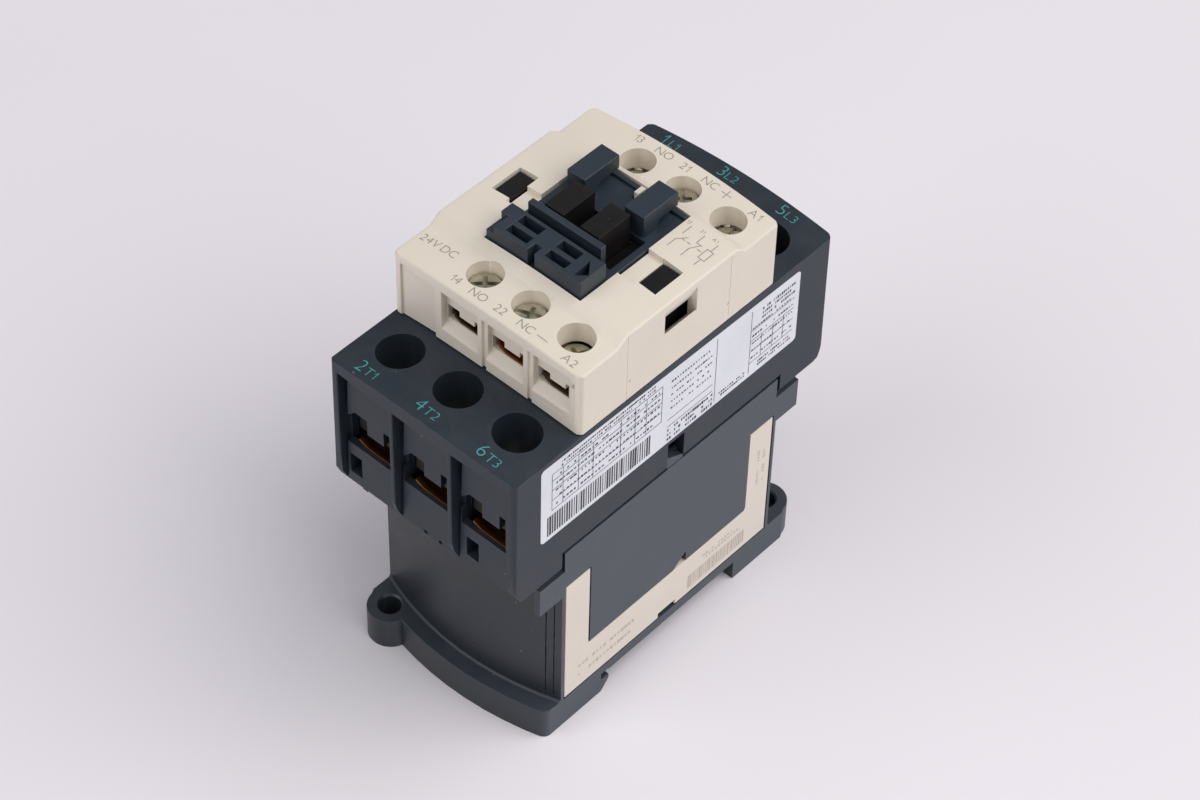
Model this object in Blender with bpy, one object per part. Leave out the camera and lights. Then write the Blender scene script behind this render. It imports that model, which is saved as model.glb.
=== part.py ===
"""DIN rail contactor on its rail side: +Z out of the front, +Y to the line end, sizes in millimetres."""
import math

import bmesh
import bpy

MM = 0.001

# Fits
GAP = 0.3
CUT = 3.0
LAP = 1.0
FLAT_ENOUGH = 0.0001

# Overall housing
WIDTH = 45.0
ARCH_SAG = 1.23
ARCH_STEPS = 10
ARC_STEPS = 10

# Magnet base
BASE_TOP = 50.5
BASE_SHOULDER = 45.3
BASE_CORNER_Y = 29.9
BASE_MIDDLE_Y = 33.9
FLANGE_TOP = 7.5
FLANGE_CORNER_Y = 34.0
FLANGE_MIDDLE_Y = 37.6
LUG_SPACING_X = 35.0
LUG_SPACING_Y = 70.0
LUG_RADIUS = 4.5
LUG_HOLE = 4.4
BASE_FLOOR = 9.7
BASE_ROOM_LEFT = 20.5
BASE_ROOM_RIGHT = 19.0
BASE_ROOM_Y = 28.0
TAB_OUTER_Y = 36.0
TAB_LOW = 38.0
TAB_THICK = 1.3

# Rail slot
RAIL_SEAT = 5.0
RAIL_END_Y = -18.6
RAIL_HOOK_Y = -16.4
RAIL_HOOK_TOP = 3.5
RAIL_HOOK_SLOPE_TOP = 2.4
RAIL_POCKET_TOP = 5.3
RAIL_REAR_Y = 20.0

# Rail clip
CLIP_HALF_X = 7.0
CLIP_LOW = 1.2
CLIP_HIGH = 3.6
CLIP_TIP_Y = 15.2
CLIP_LEAD = 1.2
CLIP_BACK_Y = 29.0
CLIP_TRAVEL = 2.5

# Suppressor module
MODULE_THICK = 1.6
MODULE_OUTER_Y = 28.9
MODULE_INNER_Y = 22.45
MODULE_LOW = 7.7
MODULE_HIGH = 39.9
MODULE_SILL = 18.3
MODULE_NOTCH_Y = 2.4
MODULE_NOTCH_DEEP = 1.2

# Contact block
BLOCK_TOP = 79.3
BLOCK_SEAM = 50.8
BLOCK_UNDER = 45.6
BLOCK_STEP_Y = 30.2
BLOCK_END_Y = 43.07
BLOCK_BOW = 0.47
BLOCK_CORNER_Z = 54.4
BLOCK_CURVE = ((0.67, 4.1), (1.87, 1.4), (4.57, 0.0))
POLE_PITCH = 14.2
POLES = 3
BAY_RECESS = 1.8
BAY_HIGH = 75.8
BAY_SIDE_WALL = 1.8
RIB_THICK = 0.85
ROOM_HALF_X = 5.8
END_WALL = 1.47
ROOM_FLOOR = 55.3
ROOM_ROOF = 74.0
WINDOW_SILL = 57.5
WINDOW_HIGH = 66.4
WINDOW_TONGUE = 62.8
WINDOW_LEFT = 5.9
WINDOW_RIGHT = 4.9
WINDOW_CORNER = 2.1
TONGUE_LEFT = 0.7
TONGUE_RIGHT = 3.4
POWER_SCREW_Y = 33.1
DRIVER_EASE = 0.6
KEY_HOLE_X = (-19.7, 9.5)
KEY_HOLE_WIDE = 3.0
KEY_HOLE_LOW = 49.6
KEY_HOLE_HIGH = 54.6
KEY_HOLE_DEEP = 4.0
LATCH_FROM_Y = -2.0
LATCH_TO_Y = 2.5
LATCH_HIGH = 56.8
LATCH_DEEP = 1.6
LATCH_TONGUE_HIGH = 55.4

# Power terminals
BAR_HALF_X = 5.0
BAR_THICK = 1.6
BAR_INNER_Y = 11.0
TIP_LONG = 4.0
TIP_THICK = 1.2
POWER_SHANK = 3.8
POWER_HEAD = 7.8
POWER_HEAD_THICK = 3.0
POWER_CLAMP_HALF_X = 4.8
POWER_CLAMP_OUT = 6.2
POWER_CLAMP_IN = 4.6
POWER_CLAMP_THICK = 1.6
POWER_CLAMP_LEG = 1.4
POWER_TRAVEL = 2.8
POWER_SHANK_LONG = 9.4
CLAMP_WALL = 1.0
SCREW_POINT = 0.4
SCREW_LEAD = 0.6
RIM_SHARE = 0.7
FLAT_SHARE = 0.72
SLOT_REACH_SHARE = 0.66
SLOT_WIDE_SHARE = 0.18
SLOT_FLOOR_SHARE = 0.45

# Moving contacts
CARRIER_TRAVEL = 5.0
BRIDGE_STROKE = 3.5
BRIDGE_HALF_X = 4.6
BRIDGE_HALF_Y = 16.0
BRIDGE_THICK = 1.4
BRIDGE_TIP = 0.8
CONTACT_SPRING_LONG = 8.0
CONTACT_SPRING_RADIUS = 3.2
SPRING_WIRE = 0.45
CONTACT_SPRING_TURNS = 4
RETURN_SPRING_TURNS = 5
RETURN_SPRING_RADIUS = 2.6
RETURN_SPRING_X = 13.0

# Carrier
SLOT_HALF_X = 20.2
SLOT_HALF_Y = 5.5
CARRIER_WIDE_HIGH = 78.0
STEM_HALF_X = 16.0
STEM_CLEAR = 0.5
HEAD_HALF_X = 19.2
HEAD_HALF_Y = 3.7
HEAD_HIGH = 91.2
ARM_HIGH = 93.5
BAR_TOP = 100.0
BAR_IN_X = 1.9
BAR_OUT_X = 6.5
BAR_FRONT_Y = -4.3
BAR_REAR_Y = 4.0
POLE_WINDOW_HALF_X = 5.0

# Magnet
CORE_HALF_X = 8.0
CORE_HALF_Y = 25.0
CORE_LOW = 10.0
YOKE_THICK = 8.0
CORE_HIGH = 36.0
LIMB_INNER_Y = 19.0
MIDDLE_LIMB_Y = 6.0
CLOSED_GAP = 0.5
ARMATURE_THICK = 6.0
NECK_HALF_X = 5.0
NECK_HALF_Y = 2.5
PIN_RADIUS = 1.2
PIN_HALF_X = 14.0
PIN_RISE = 4.0
BOBBIN_HALF_X = 16.0
BOBBIN_HALF_Y = 18.4
BOBBIN_LOW = 18.3
BOBBIN_HIGH = 35.7
FLANGE_THICK = 1.7
SPOOL_WALL = 1.1
WINDING_INSET = 0.8

# Front cover
COVER_END_Y = 26.6
COVER_BOW = 0.4
STEP_TOP = 94.2
PLATEAU_TOP = 95.9
PLATEAU_FOOT_Y = 16.9
PLATEAU_EDGE_Y = 14.5
COVER_ROOM_HALF_X = 20.4
COVER_ROOM_HALF_Y = 14.2
COVER_ROOF = 91.5
SMALL_BAY_ROOF = 89.2
SMALL_BAY_HALF_X = 4.6
SMALL_BAY_END_Y = 24.0
SMALL_PITCH = 10.82
SMALL_MIDDLE_X = 4.89
SMALL_Y = 19.9
FACE_BAY_HALF_X = 4.4
FACE_BAY_Y = 25.0
FACE_BAY_LOW = 84.0
FACE_BAY_HIGH = 91.4
FACE_RAMP_DROP = 1.7
SLIT_SILL = 84.5
SLIT_HIGH = 87.6
SLIT_TONGUE = 86.3
SLIT_LEFT = 4.2
SLIT_RIGHT = 3.0
SLIT_TONGUE_LEFT = 1.4
SLIT_TONGUE_RIGHT = 2.2
BLANK_FROM_X = -20.6
BLANK_TO_X = -11.9
BLANK_Y = 25.8
EYE_IN_X = 14.9
EYE_OUT_X = 19.5
EYE_FRONT_Y = -4.0
EYE_REAR_Y = 3.4
SIDE_SLOT_FRONT_Y = -4.6
SIDE_SLOT_REAR_Y = 3.9
SIDE_SLOT_LOW = 87.5
SIDE_SLOT_HIGH = 89.5
SIDE_SLOPE_TOP = 93.3
SIDE_SLOPE_DEEP = 1.6

# Small terminals
SMALL_BAR_HALF_X = 3.6
SMALL_BAR_LOW = 83.0
SMALL_BAR_THICK = 1.2
SMALL_BAR_OUTER_Y = 23.6
SMALL_BAR_INNER_Y = 14.8
SMALL_SHANK = 3.2
SMALL_HEAD = 6.2
SMALL_HEAD_THICK = 2.6
SMALL_CLAMP_HALF_X = 3.7
SMALL_CLAMP_HALF_Y = 3.5
SMALL_CLAMP_THICK = 1.2
SMALL_CLAMP_LEG = 0.8
SMALL_TRAVEL = 2.4
SMALL_SHANK_LONG = 7.0
SMALL_BRIDGE_HALF_X = 2.6
SMALL_BRIDGE_HALF_Y = 11.0
SMALL_BRIDGE_THICK = 0.8
SMALL_TIP = 0.6
SMALL_TIP_INNER_Y = 8.4
MAKE_LEVEL = 81.2
BREAK_LEVEL = 88.3
FINGER_THICK = 1.0
FINGER_TURN_Y = 12.4
BLADE_IN_X = 20.7
BLADE_THICK = 0.6
BLADE_FRONT_Y = 15.5
BLADE_REAR_Y = 18.5
BLADE_LOW = 38.0
HORN_HIGH = 44.0

# Accessory frame
FRAME_HALF_X = 11.2
FRAME_HALF_Y = 14.2
FRAME_LOW = 93.5
FRAME_TOP = 95.0
FRAME_OPEN_X = 9.6
FRAME_OPEN_FRONT = -4.8
FRAME_OPEN_REAR = 4.5
BRACKET_REAR_Y = -7.5
BRACKET_TOP = 99.3
BRACKET_ROWS = ((-13.2, -11.4), (-10.25, -8.2))
BRACKET_COLUMNS = ((-7.4, -2.45), (1.8, 6.5))
BRACKET_NOTCH_X = (-1.24, 0.3)
BRACKET_NOTCH_REAR_Y = -12.1
BRACKET_PIT = ((9.3, -13.2), (9.0, -8.8), (10.8, -11.8))
BRACKET_PIT_FLOOR = 97.0
BRACKET_STEP_X = -9.4
BRACKET_STEP_Y = -10.4
BRACKET_STEP_TOP = 97.6
RIDGE_TOP = 100.3
RIDGE_HALF_X = 8.7
RIDGE_FRONT_Y = -6.2
RIDGE_REAR_Y = -4.8
HOOK_TOP = 100.1
HOOK_SPANS_X = ((-9.5, -5.1), (4.2, 8.9))
HOOK_FRONT_Y = 4.8
HOOK_REAR_Y = 14.0
HOOK_FOOT_Y = 8.4
HOOK_THICK = 3.2
HOOK_CORNER = 1.0
REAR_NOTCH_FROM_X = 0.2
REAR_NOTCH_TO_X = 2.6
REAR_NOTCH_FRONT_Y = 11.4
CATCH_WIDE = 1.0
CATCH_LONG = 2.0
CATCH_TOP = 96.3

# Facets around the round pieces
SCREW_SIDES = 20
HOLE_SIDES = 20
SPRING_SIDES = 5
SPRING_POINTS = 9

HALF = WIDTH / 2
POLE_X = [(pole - (POLES - 1) / 2) * POLE_PITCH for pole in range(POLES)]
SMALL_X = [SMALL_MIDDLE_X + step * SMALL_PITCH for step in (-1, 0, 1)]
ROOM_END_Y = BLOCK_END_Y - BAY_RECESS - END_WALL
POWER_HOLE = POWER_HEAD + 2 * DRIVER_EASE
SMALL_HOLE = SMALL_HEAD + 2 * GAP
BAR_OUTER_Y = ROOM_END_Y - GAP
BAR_LOW = ROOM_FLOOR + GAP
BAR_HIGH = BAR_LOW + BAR_THICK
SMALL_BAR_HIGH = SMALL_BAR_LOW + SMALL_BAR_THICK
ARMATURE_LOW = CORE_HIGH + CARRIER_TRAVEL + CLOSED_GAP
ARMATURE_HIGH = ARMATURE_LOW + ARMATURE_THICK
STEM_LOW = ARMATURE_HIGH + STEM_CLEAR
PIN_Z = STEM_LOW + PIN_RISE
NECK_HIGH = PIN_Z + PIN_RISE
CARRIER_WIDE_LOW = BASE_TOP + CARRIER_TRAVEL + CLOSED_GAP
BRIDGE_LOW = BAR_HIGH + TIP_THICK + GAP + BRIDGE_STROKE + BRIDGE_TIP
POLE_WINDOW_LOW = BRIDGE_LOW - GAP
CONTACT_SPRING_LOW = BRIDGE_LOW + BRIDGE_THICK + GAP
POLE_WINDOW_HIGH = CONTACT_SPRING_LOW + CONTACT_SPRING_LONG + GAP
MAKE_BRIDGE_LOW = MAKE_LEVEL + SMALL_TIP + GAP + BRIDGE_STROKE + SMALL_TIP
BREAK_BRIDGE_LOW = BREAK_LEVEL - SMALL_TIP - GAP - SMALL_TIP - SMALL_BRIDGE_THICK
ENDS = (("load", -1), ("line", 1))
SMALL_NAMES = {-1: ("14", "22", "a2"), 1: ("13", "21", "a1")}
BACKED_OUT = ("14", "22", "21")

HOUSING = (58, 65, 73)
CREAM = (226, 217, 200)
FRAME_BLUE = (52, 63, 78)
CARRIER_BROWN = (45, 40, 38)
COPPER = (176, 104, 62)
BRASS = (186, 150, 88)
STEEL = (176, 178, 180)
LAMINATED = (112, 114, 118)
AMBER = (150, 88, 44)
BOBBIN_BLACK = (30, 31, 33)


def linear(colour):
    """Turn screen values from 0 to 255 into linear ones."""
    return [((value / 255 + 0.055) / 1.055) ** 2.4 for value in colour]


def arch(x):
    """Drop of the arched front surfaces at a distance from the middle."""
    return ARCH_SAG * (x / HALF) ** 2


def prism(outline, axis, low, high):
    """Extrude an outline, given in the two other axes in order, along one axis."""
    turn = {"x": (2, 0, 1), "y": (0, 2, 1), "z": (0, 1, 2)}[axis]
    count = len(outline)
    rows = [(u, v, level) for level in (low, high) for u, v in outline]
    verts = [tuple(row[index] for index in turn) for row in rows]
    faces = [[i, (i + 1) % count, count + (i + 1) % count, count + i] for i in range(count)]
    faces.append(list(range(count)))
    faces.append(list(range(count, 2 * count)))
    return verts, faces


def box(x, y, z):
    """A block from three ranges, each given in either order."""
    x, y, z = sorted(x), sorted(y), sorted(z)
    outline = [(x[0], y[0]), (x[1], y[0]), (x[1], y[1]), (x[0], y[1])]
    return prism(outline, "z", z[0], z[1])


def circle(u, v, radius, sides):
    """Corner points of a regular polygon."""
    turns = [2 * math.pi * (side + 0.5) / sides for side in range(sides)]
    return [(u + radius * math.cos(turn), v + radius * math.sin(turn)) for turn in turns]


def rod(u, v, radius, axis, low, high, sides=HOLE_SIDES):
    """A round bar along an axis."""
    return prism(circle(u, v, radius, sides), axis, low, high)


def lathe(profile, x, y, sides=SCREW_SIDES):
    """Turn a profile of radius and height about an upright axis; both ends are closed by a flat."""
    rings = len(profile)
    verts = [(x + u, y + v, z) for radius, z in profile for u, v in circle(0, 0, radius, sides)]
    faces = []
    for ring in range(rings - 1):
        low, high = ring * sides, (ring + 1) * sides
        faces += [[low + i, low + (i + 1) % sides, high + (i + 1) % sides, high + i] for i in range(sides)]
    faces.append(list(range(sides)))
    faces.append(list(range((rings - 1) * sides, rings * sides)))
    return verts, faces


def helix(x, y, low, high, radius, turns):
    """A round wire wound between two heights; its least gap between turns is printed."""
    first, last = low + SPRING_WIRE, high - SPRING_WIRE
    count = turns * SPRING_POINTS + 1
    rise = (last - first) / (2 * math.pi * turns * radius)
    tilt = math.hypot(1, rise)
    verts = []
    for step in range(count):
        turn = 2 * math.pi * step / SPRING_POINTS
        out = (math.cos(turn), math.sin(turn), 0)
        up = (math.sin(turn) * rise / tilt, -math.cos(turn) * rise / tilt, 1 / tilt)
        middle = (x + radius * out[0], y + radius * out[1], first + (last - first) * step / (count - 1))
        for u, v in circle(0, 0, SPRING_WIRE, SPRING_SIDES):
            verts.append(tuple(middle[i] + u * out[i] + v * up[i] for i in range(3)))
    faces = [list(range(SPRING_SIDES)), list(range((count - 1) * SPRING_SIDES, count * SPRING_SIDES))]
    for step in range(count - 1):
        near, far = step * SPRING_SIDES, (step + 1) * SPRING_SIDES
        for i in range(SPRING_SIDES):
            j = (i + 1) % SPRING_SIDES
            faces.append([near + i, near + j, far + j, far + i])
    print("spring gap between turns, mm:", round((last - first) / turns - 2 * SPRING_WIRE, 2))
    return verts, faces


def arched(stations, bow):
    """A body from stations along Y: place, low and high level, and whether the low face is arched too."""
    spots = [HALF * (2 * step / ARCH_STEPS - 1) for step in range(ARCH_STEPS + 1)]
    columns = len(spots)
    verts = []
    for y, low, high, low_arched in stations:
        for level, follows in ((low, low_arched), (high, True)):
            for x in spots:
                pull = math.copysign(bow, y) * (x / HALF) ** 2 if abs(y) == abs(stations[0][0]) else 0
                verts.append((x, y - pull, level - arch(x) * follows))
    faces = []
    for station in range(len(stations) - 1):
        near, far = station * 2 * columns, (station + 1) * 2 * columns
        for row in (0, columns):
            for i in range(row, row + columns - 1):
                faces.append([near + i, near + i + 1, far + i + 1, far + i])
        for edge in (0, columns - 1):
            faces.append([near + edge, far + edge, far + columns + edge, near + columns + edge])
    for start in (0, (len(stations) - 1) * 2 * columns):
        for i in range(start, start + columns - 1):
            faces.append([i, i + 1, columns + i + 1, columns + i])
    return verts, faces


def both(half):
    """The range from minus to plus a half size."""
    return -half, half


def around(middle, half):
    """The range of a half size to each side of a place."""
    return middle - half, middle + half


def blade_span(end, grow):
    """Range along Y of a coil blade at one end, grown for its slot."""
    return end * (BLADE_FRONT_Y - grow), end * (BLADE_REAR_Y + grow)


def bowed(corner_y, middle_y):
    """Plan outline of the base, whose two ends are arcs."""
    spots = [HALF * (2 * step / ARC_STEPS - 1) for step in range(ARC_STEPS + 1)]
    edge = [(x, middle_y - (middle_y - corner_y) * (x / HALF) ** 2) for x in spots]
    return [(x, -y) for x, y in edge] + [(x, y) for x, y in reversed(edge)]


def flat(face):
    """Whether all corners of a face lie in its plane."""
    start = face.verts[0].co
    face.normal_update()
    return all(abs((vert.co - start).dot(face.normal)) < FLAT_ENOUGH * MM for vert in face.verts)


def mesh_of(name, shapes, at):
    """Join shapes that don't meet into one mesh, seen from a chosen origin."""
    frame = bmesh.new()
    for verts, faces in shapes:
        made = [frame.verts.new([(value - start) * MM for value, start in zip(vert, at)]) for vert in verts]
        for face in faces:
            frame.faces.new([made[index] for index in face])
    bent = [face for face in frame.faces if not flat(face)]
    bmesh.ops.triangulate(frame, faces=bent)
    bmesh.ops.recalc_face_normals(frame, faces=frame.faces)
    mesh = bpy.data.meshes.new(name)
    frame.to_mesh(mesh)
    frame.free()
    return mesh


def piece(name, colour, roughness, metallic, shape, at=(0, 0, 0), round_piece=False):
    """Make a named sub-part with its own material and its origin at a chosen point."""
    mesh = mesh_of(name, [shape], at)
    if round_piece:
        mesh.shade_smooth()
        mesh.set_sharp_from_angle(angle=math.radians(35))
    item = bpy.data.objects.new(name, mesh)
    item.location = [value * MM for value in at]
    bpy.context.scene.collection.objects.link(item)
    material = bpy.data.materials.new(name + "_look")
    material.use_nodes = True
    shader = material.node_tree.nodes["Principled BSDF"]
    shader.inputs["Base Color"].default_value = (*linear(colour), 1)
    shader.inputs["Roughness"].default_value = roughness
    shader.inputs["Metallic"].default_value = metallic
    mesh.materials.append(material)
    return item


def alter(item, operation, *shapes):
    """Add or take away shapes that don't meet each other, held in one hidden tool."""
    name = item.name + "_tool_" + str(len(item.modifiers) + 1)
    tool = bpy.data.objects.new(name, mesh_of(name, shapes, (0, 0, 0)))
    tool.hide_render = True
    tool.display_type = "WIRE"
    bpy.context.scene.collection.objects.link(tool)
    step = item.modifiers.new(name, "BOOLEAN")
    step.solver = "EXACT"
    step.operation = operation
    step.object = tool


def add(item, *shapes):
    alter(item, "UNION", *shapes)


def cut(item, *shapes):
    alter(item, "DIFFERENCE", *shapes)


def build_base():
    """Lower housing with the rail slot, the lugs and the room for the magnet."""
    wall = prism(bowed(BASE_CORNER_Y, BASE_MIDDLE_Y), "z", 0, BASE_SHOULDER)
    base = piece("magnet_base", HOUSING, 0.5, 0, wall)
    add(base, box(both(HALF), both(BASE_CORNER_Y), (BASE_SHOULDER - CUT, BASE_TOP)))
    add(base, prism(bowed(FLANGE_CORNER_Y, FLANGE_MIDDLE_Y), "z", 0, FLANGE_TOP))
    lugs = [(side * LUG_SPACING_X / 2, side * LUG_SPACING_Y / 2) for side in (-1, 1)]
    add(base, *[rod(x, y, LUG_RADIUS, "z", 0, FLANGE_TOP) for x, y in lugs])
    cut(base, *[rod(x, y, LUG_HOLE / 2, "z", -CUT, FLANGE_TOP + CUT) for x, y in lugs])
    add(base, *base_tabs())
    add(base, *latch_tongues())
    room = (-BASE_ROOM_LEFT, BASE_ROOM_RIGHT)
    cut(base, box(room, both(BASE_ROOM_Y), (BASE_FLOOR, BASE_TOP + CUT)))
    cut(base, prism(rail_outline(), "x", *both(HALF + CUT)))
    way = (RAIL_REAR_Y - CUT, CLIP_BACK_Y + CLIP_TRAVEL + GAP)
    cut(base, box(both(CLIP_HALF_X + GAP), way, (CLIP_LOW - GAP, CLIP_HIGH + GAP)))
    cut(base, prism(module_outline(GAP), "x", HALF - MODULE_THICK - GAP, HALF + CUT))
    groove = (BASE_ROOM_RIGHT - LAP, BLADE_IN_X + BLADE_THICK + GAP)
    heights = (BOBBIN_HIGH - CUT, BASE_TOP + CUT)
    cut(base, *[box(groove, blade_span(end, GAP), heights) for name, end in ENDS])


def base_tabs():
    """Small wings on the sides of the base, under the contact block."""
    tabs = []
    for side in (-1, 1):
        wall = (side * (HALF - TAB_THICK), side * HALF)
        for name, end in ENDS:
            tabs.append(box(wall, (end * (BASE_CORNER_Y - LAP), end * TAB_OUTER_Y), (TAB_LOW, BASE_SHOULDER)))
    return tabs


def latch_tongues():
    """Tongues of the base that stand in the latch windows of the contact block."""
    span = (LATCH_FROM_Y + GAP, LATCH_TO_Y - GAP)
    walls = [(side * (HALF - LATCH_DEEP + GAP), side * (HALF - GAP)) for side in (-1, 1)]
    return [box(wall, span, (BASE_TOP - CUT, LATCH_TONGUE_HIGH)) for wall in walls]


def rail_outline():
    """Side outline of the rail slot, with a fixed hook over one edge of the rail."""
    hook = [(RAIL_END_Y, -CUT), (RAIL_END_Y, 0), (RAIL_HOOK_Y, RAIL_HOOK_SLOPE_TOP)]
    hook += [(RAIL_HOOK_Y, RAIL_HOOK_TOP), (RAIL_END_Y, RAIL_HOOK_TOP), (RAIL_END_Y, RAIL_POCKET_TOP)]
    seat = [(RAIL_HOOK_Y, RAIL_POCKET_TOP), (RAIL_HOOK_Y, RAIL_SEAT), (RAIL_REAR_Y, RAIL_SEAT)]
    return hook + seat + [(RAIL_REAR_Y, -CUT)]


def module_outline(grow):
    """U-shaped side outline of the module, grown evenly for its pocket."""
    outer, inner = MODULE_OUTER_Y + grow, MODULE_INNER_Y - grow
    low, sill, high = MODULE_LOW - grow, MODULE_SILL + grow, MODULE_HIGH + grow
    right = [(outer, low), (outer, high), (inner, high), (inner, sill)]
    return right + [(-y, z) for y, z in reversed(right)]


def build_module():
    """Side module, flush with the base."""
    shape = prism(module_outline(0), "x", HALF - MODULE_THICK, HALF)
    module = piece("suppressor_module", CREAM, 0.5, 0, shape)
    heights = (MODULE_LOW - CUT, MODULE_LOW + MODULE_NOTCH_DEEP)
    cut(module, box((HALF - MODULE_THICK - CUT, HALF + CUT), both(MODULE_NOTCH_Y), heights))


def build_clip():
    """Sprung catch at the rear edge of the rail slot."""
    side = [(CLIP_TIP_Y, CLIP_HIGH), (CLIP_TIP_Y + CLIP_LEAD, CLIP_LOW)]
    side += [(CLIP_BACK_Y, CLIP_LOW), (CLIP_BACK_Y, CLIP_HIGH)]
    piece("rail_clip", BOBBIN_BLACK, 0.5, 0, prism(side, "x", *both(CLIP_HALF_X)), (0, CLIP_BACK_Y, CLIP_LOW))


def build_block():
    """Middle housing with the pole rooms and the power terminal openings."""
    stations = [(-BLOCK_END_Y, BLOCK_CORNER_Z, BLOCK_TOP, False)]
    for inset, lift in BLOCK_CURVE:
        stations.append((-BLOCK_END_Y + inset, BLOCK_UNDER + lift, BLOCK_TOP, False))
    stations += [(-y, low, high, follows) for y, low, high, follows in reversed(stations)]
    block = piece("contact_block", HOUSING, 0.48, 0, arched(stations, BLOCK_BOW))
    cut(block, box(both(HALF + CUT), both(BLOCK_STEP_Y), (BLOCK_UNDER - CUT, BLOCK_SEAM)))
    add(block, *pedestals())
    heights = (ROOM_FLOOR, ROOM_ROOF)
    cut(block, *[box(around(x, ROOM_HALF_X), both(ROOM_END_Y), heights) for x in POLE_X])
    cut(block, box(both(SLOT_HALF_X), both(SLOT_HALF_Y), (BLOCK_UNDER - CUT, BLOCK_TOP + CUT)))
    for name, end in ENDS:
        open_block_end(block, end)
    key = (-BLOCK_END_Y + BAY_RECESS + KEY_HOLE_DEEP, -BLOCK_END_Y - CUT)
    heights = (KEY_HOLE_LOW, KEY_HOLE_HIGH)
    cut(block, *[box((x, x + KEY_HOLE_WIDE), key, heights) for x in KEY_HOLE_X])
    walls = [(side * (HALF - LATCH_DEEP), side * (HALF + CUT)) for side in (-1, 1)]
    heights = (BLOCK_SEAM - CUT, LATCH_HIGH)
    cut(block, *[box(wall, (LATCH_FROM_Y, LATCH_TO_Y), heights) for wall in walls])


def pedestals():
    """Supports on the contact block for the small terminals."""
    blocks = []
    for name, end in ENDS:
        span = (end * SMALL_BAR_INNER_Y, end * SMALL_BAR_OUTER_Y)
        for x in SMALL_X:
            blocks.append(box(around(x, SMALL_BAR_HALF_X), span, (BLOCK_TOP - CUT, SMALL_BAR_LOW - GAP)))
    return blocks


def open_block_end(block, end):
    """Recesses, windows and screw holes at one end of the contact block."""
    cut(block, *face_bays(end))
    through = (end * (ROOM_END_Y - LAP), end * (BLOCK_END_Y + CUT))
    cut(block, *[prism(window_outline(x), "y", *through) for x in POLE_X])
    y = end * POWER_SCREW_Y
    cut(block, *[rod(x, y, POWER_HOLE / 2, "z", ROOM_ROOF - LAP, BLOCK_TOP + CUT) for x in POLE_X])
    foot = BAR_HIGH + POWER_CLAMP_LEG + POWER_CLAMP_THICK + GAP - POWER_SHANK_LONG
    wide = POWER_SHANK / 2 + 2 * GAP
    cut(block, *[rod(x, y, wide, "z", foot, ROOM_FLOOR + LAP) for x in POLE_X])
    foot = SMALL_BAR_HIGH + SMALL_CLAMP_LEG + SMALL_CLAMP_THICK + GAP - SMALL_SHANK_LONG
    wide = SMALL_SHANK / 2 + 2 * GAP
    cut(block, *[rod(x, end * SMALL_Y, wide, "z", foot, SMALL_BAR_LOW + LAP) for x in SMALL_X])
    slot = (BLADE_IN_X - GAP, BLADE_IN_X + BLADE_THICK + GAP)
    cut(block, box(slot, blade_span(end, GAP), (BLOCK_UNDER - CUT, BLOCK_TOP + CUT)))


def face_bays(end):
    """Recesses in one end of the contact block, parted by ribs."""
    ribs = both(POLE_PITCH / 2)
    lefts = [-HALF + BAY_SIDE_WALL] + [x + RIB_THICK / 2 for x in ribs]
    rights = [x - RIB_THICK / 2 for x in ribs] + [HALF - BAY_SIDE_WALL]
    deep = (end * (BLOCK_END_Y - BAY_RECESS), end * (BLOCK_END_Y + CUT))
    return [box(span, deep, (BLOCK_UNDER - CUT, BAY_HIGH)) for span in zip(lefts, rights)]


def window_outline(x):
    """Wire window of a pole, with a tongue hanging into it."""
    steps = [(-WINDOW_LEFT, WINDOW_SILL), (WINDOW_RIGHT, WINDOW_SILL), (WINDOW_RIGHT, WINDOW_HIGH)]
    steps += [(TONGUE_RIGHT, WINDOW_HIGH), (TONGUE_RIGHT, WINDOW_TONGUE), (-TONGUE_LEFT, WINDOW_TONGUE)]
    steps += [(-TONGUE_LEFT, WINDOW_HIGH), (-WINDOW_LEFT + WINDOW_CORNER, WINDOW_HIGH)]
    steps += [(-WINDOW_LEFT, WINDOW_HIGH - WINDOW_CORNER)]
    return [(x + step, z) for step, z in steps]


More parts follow.
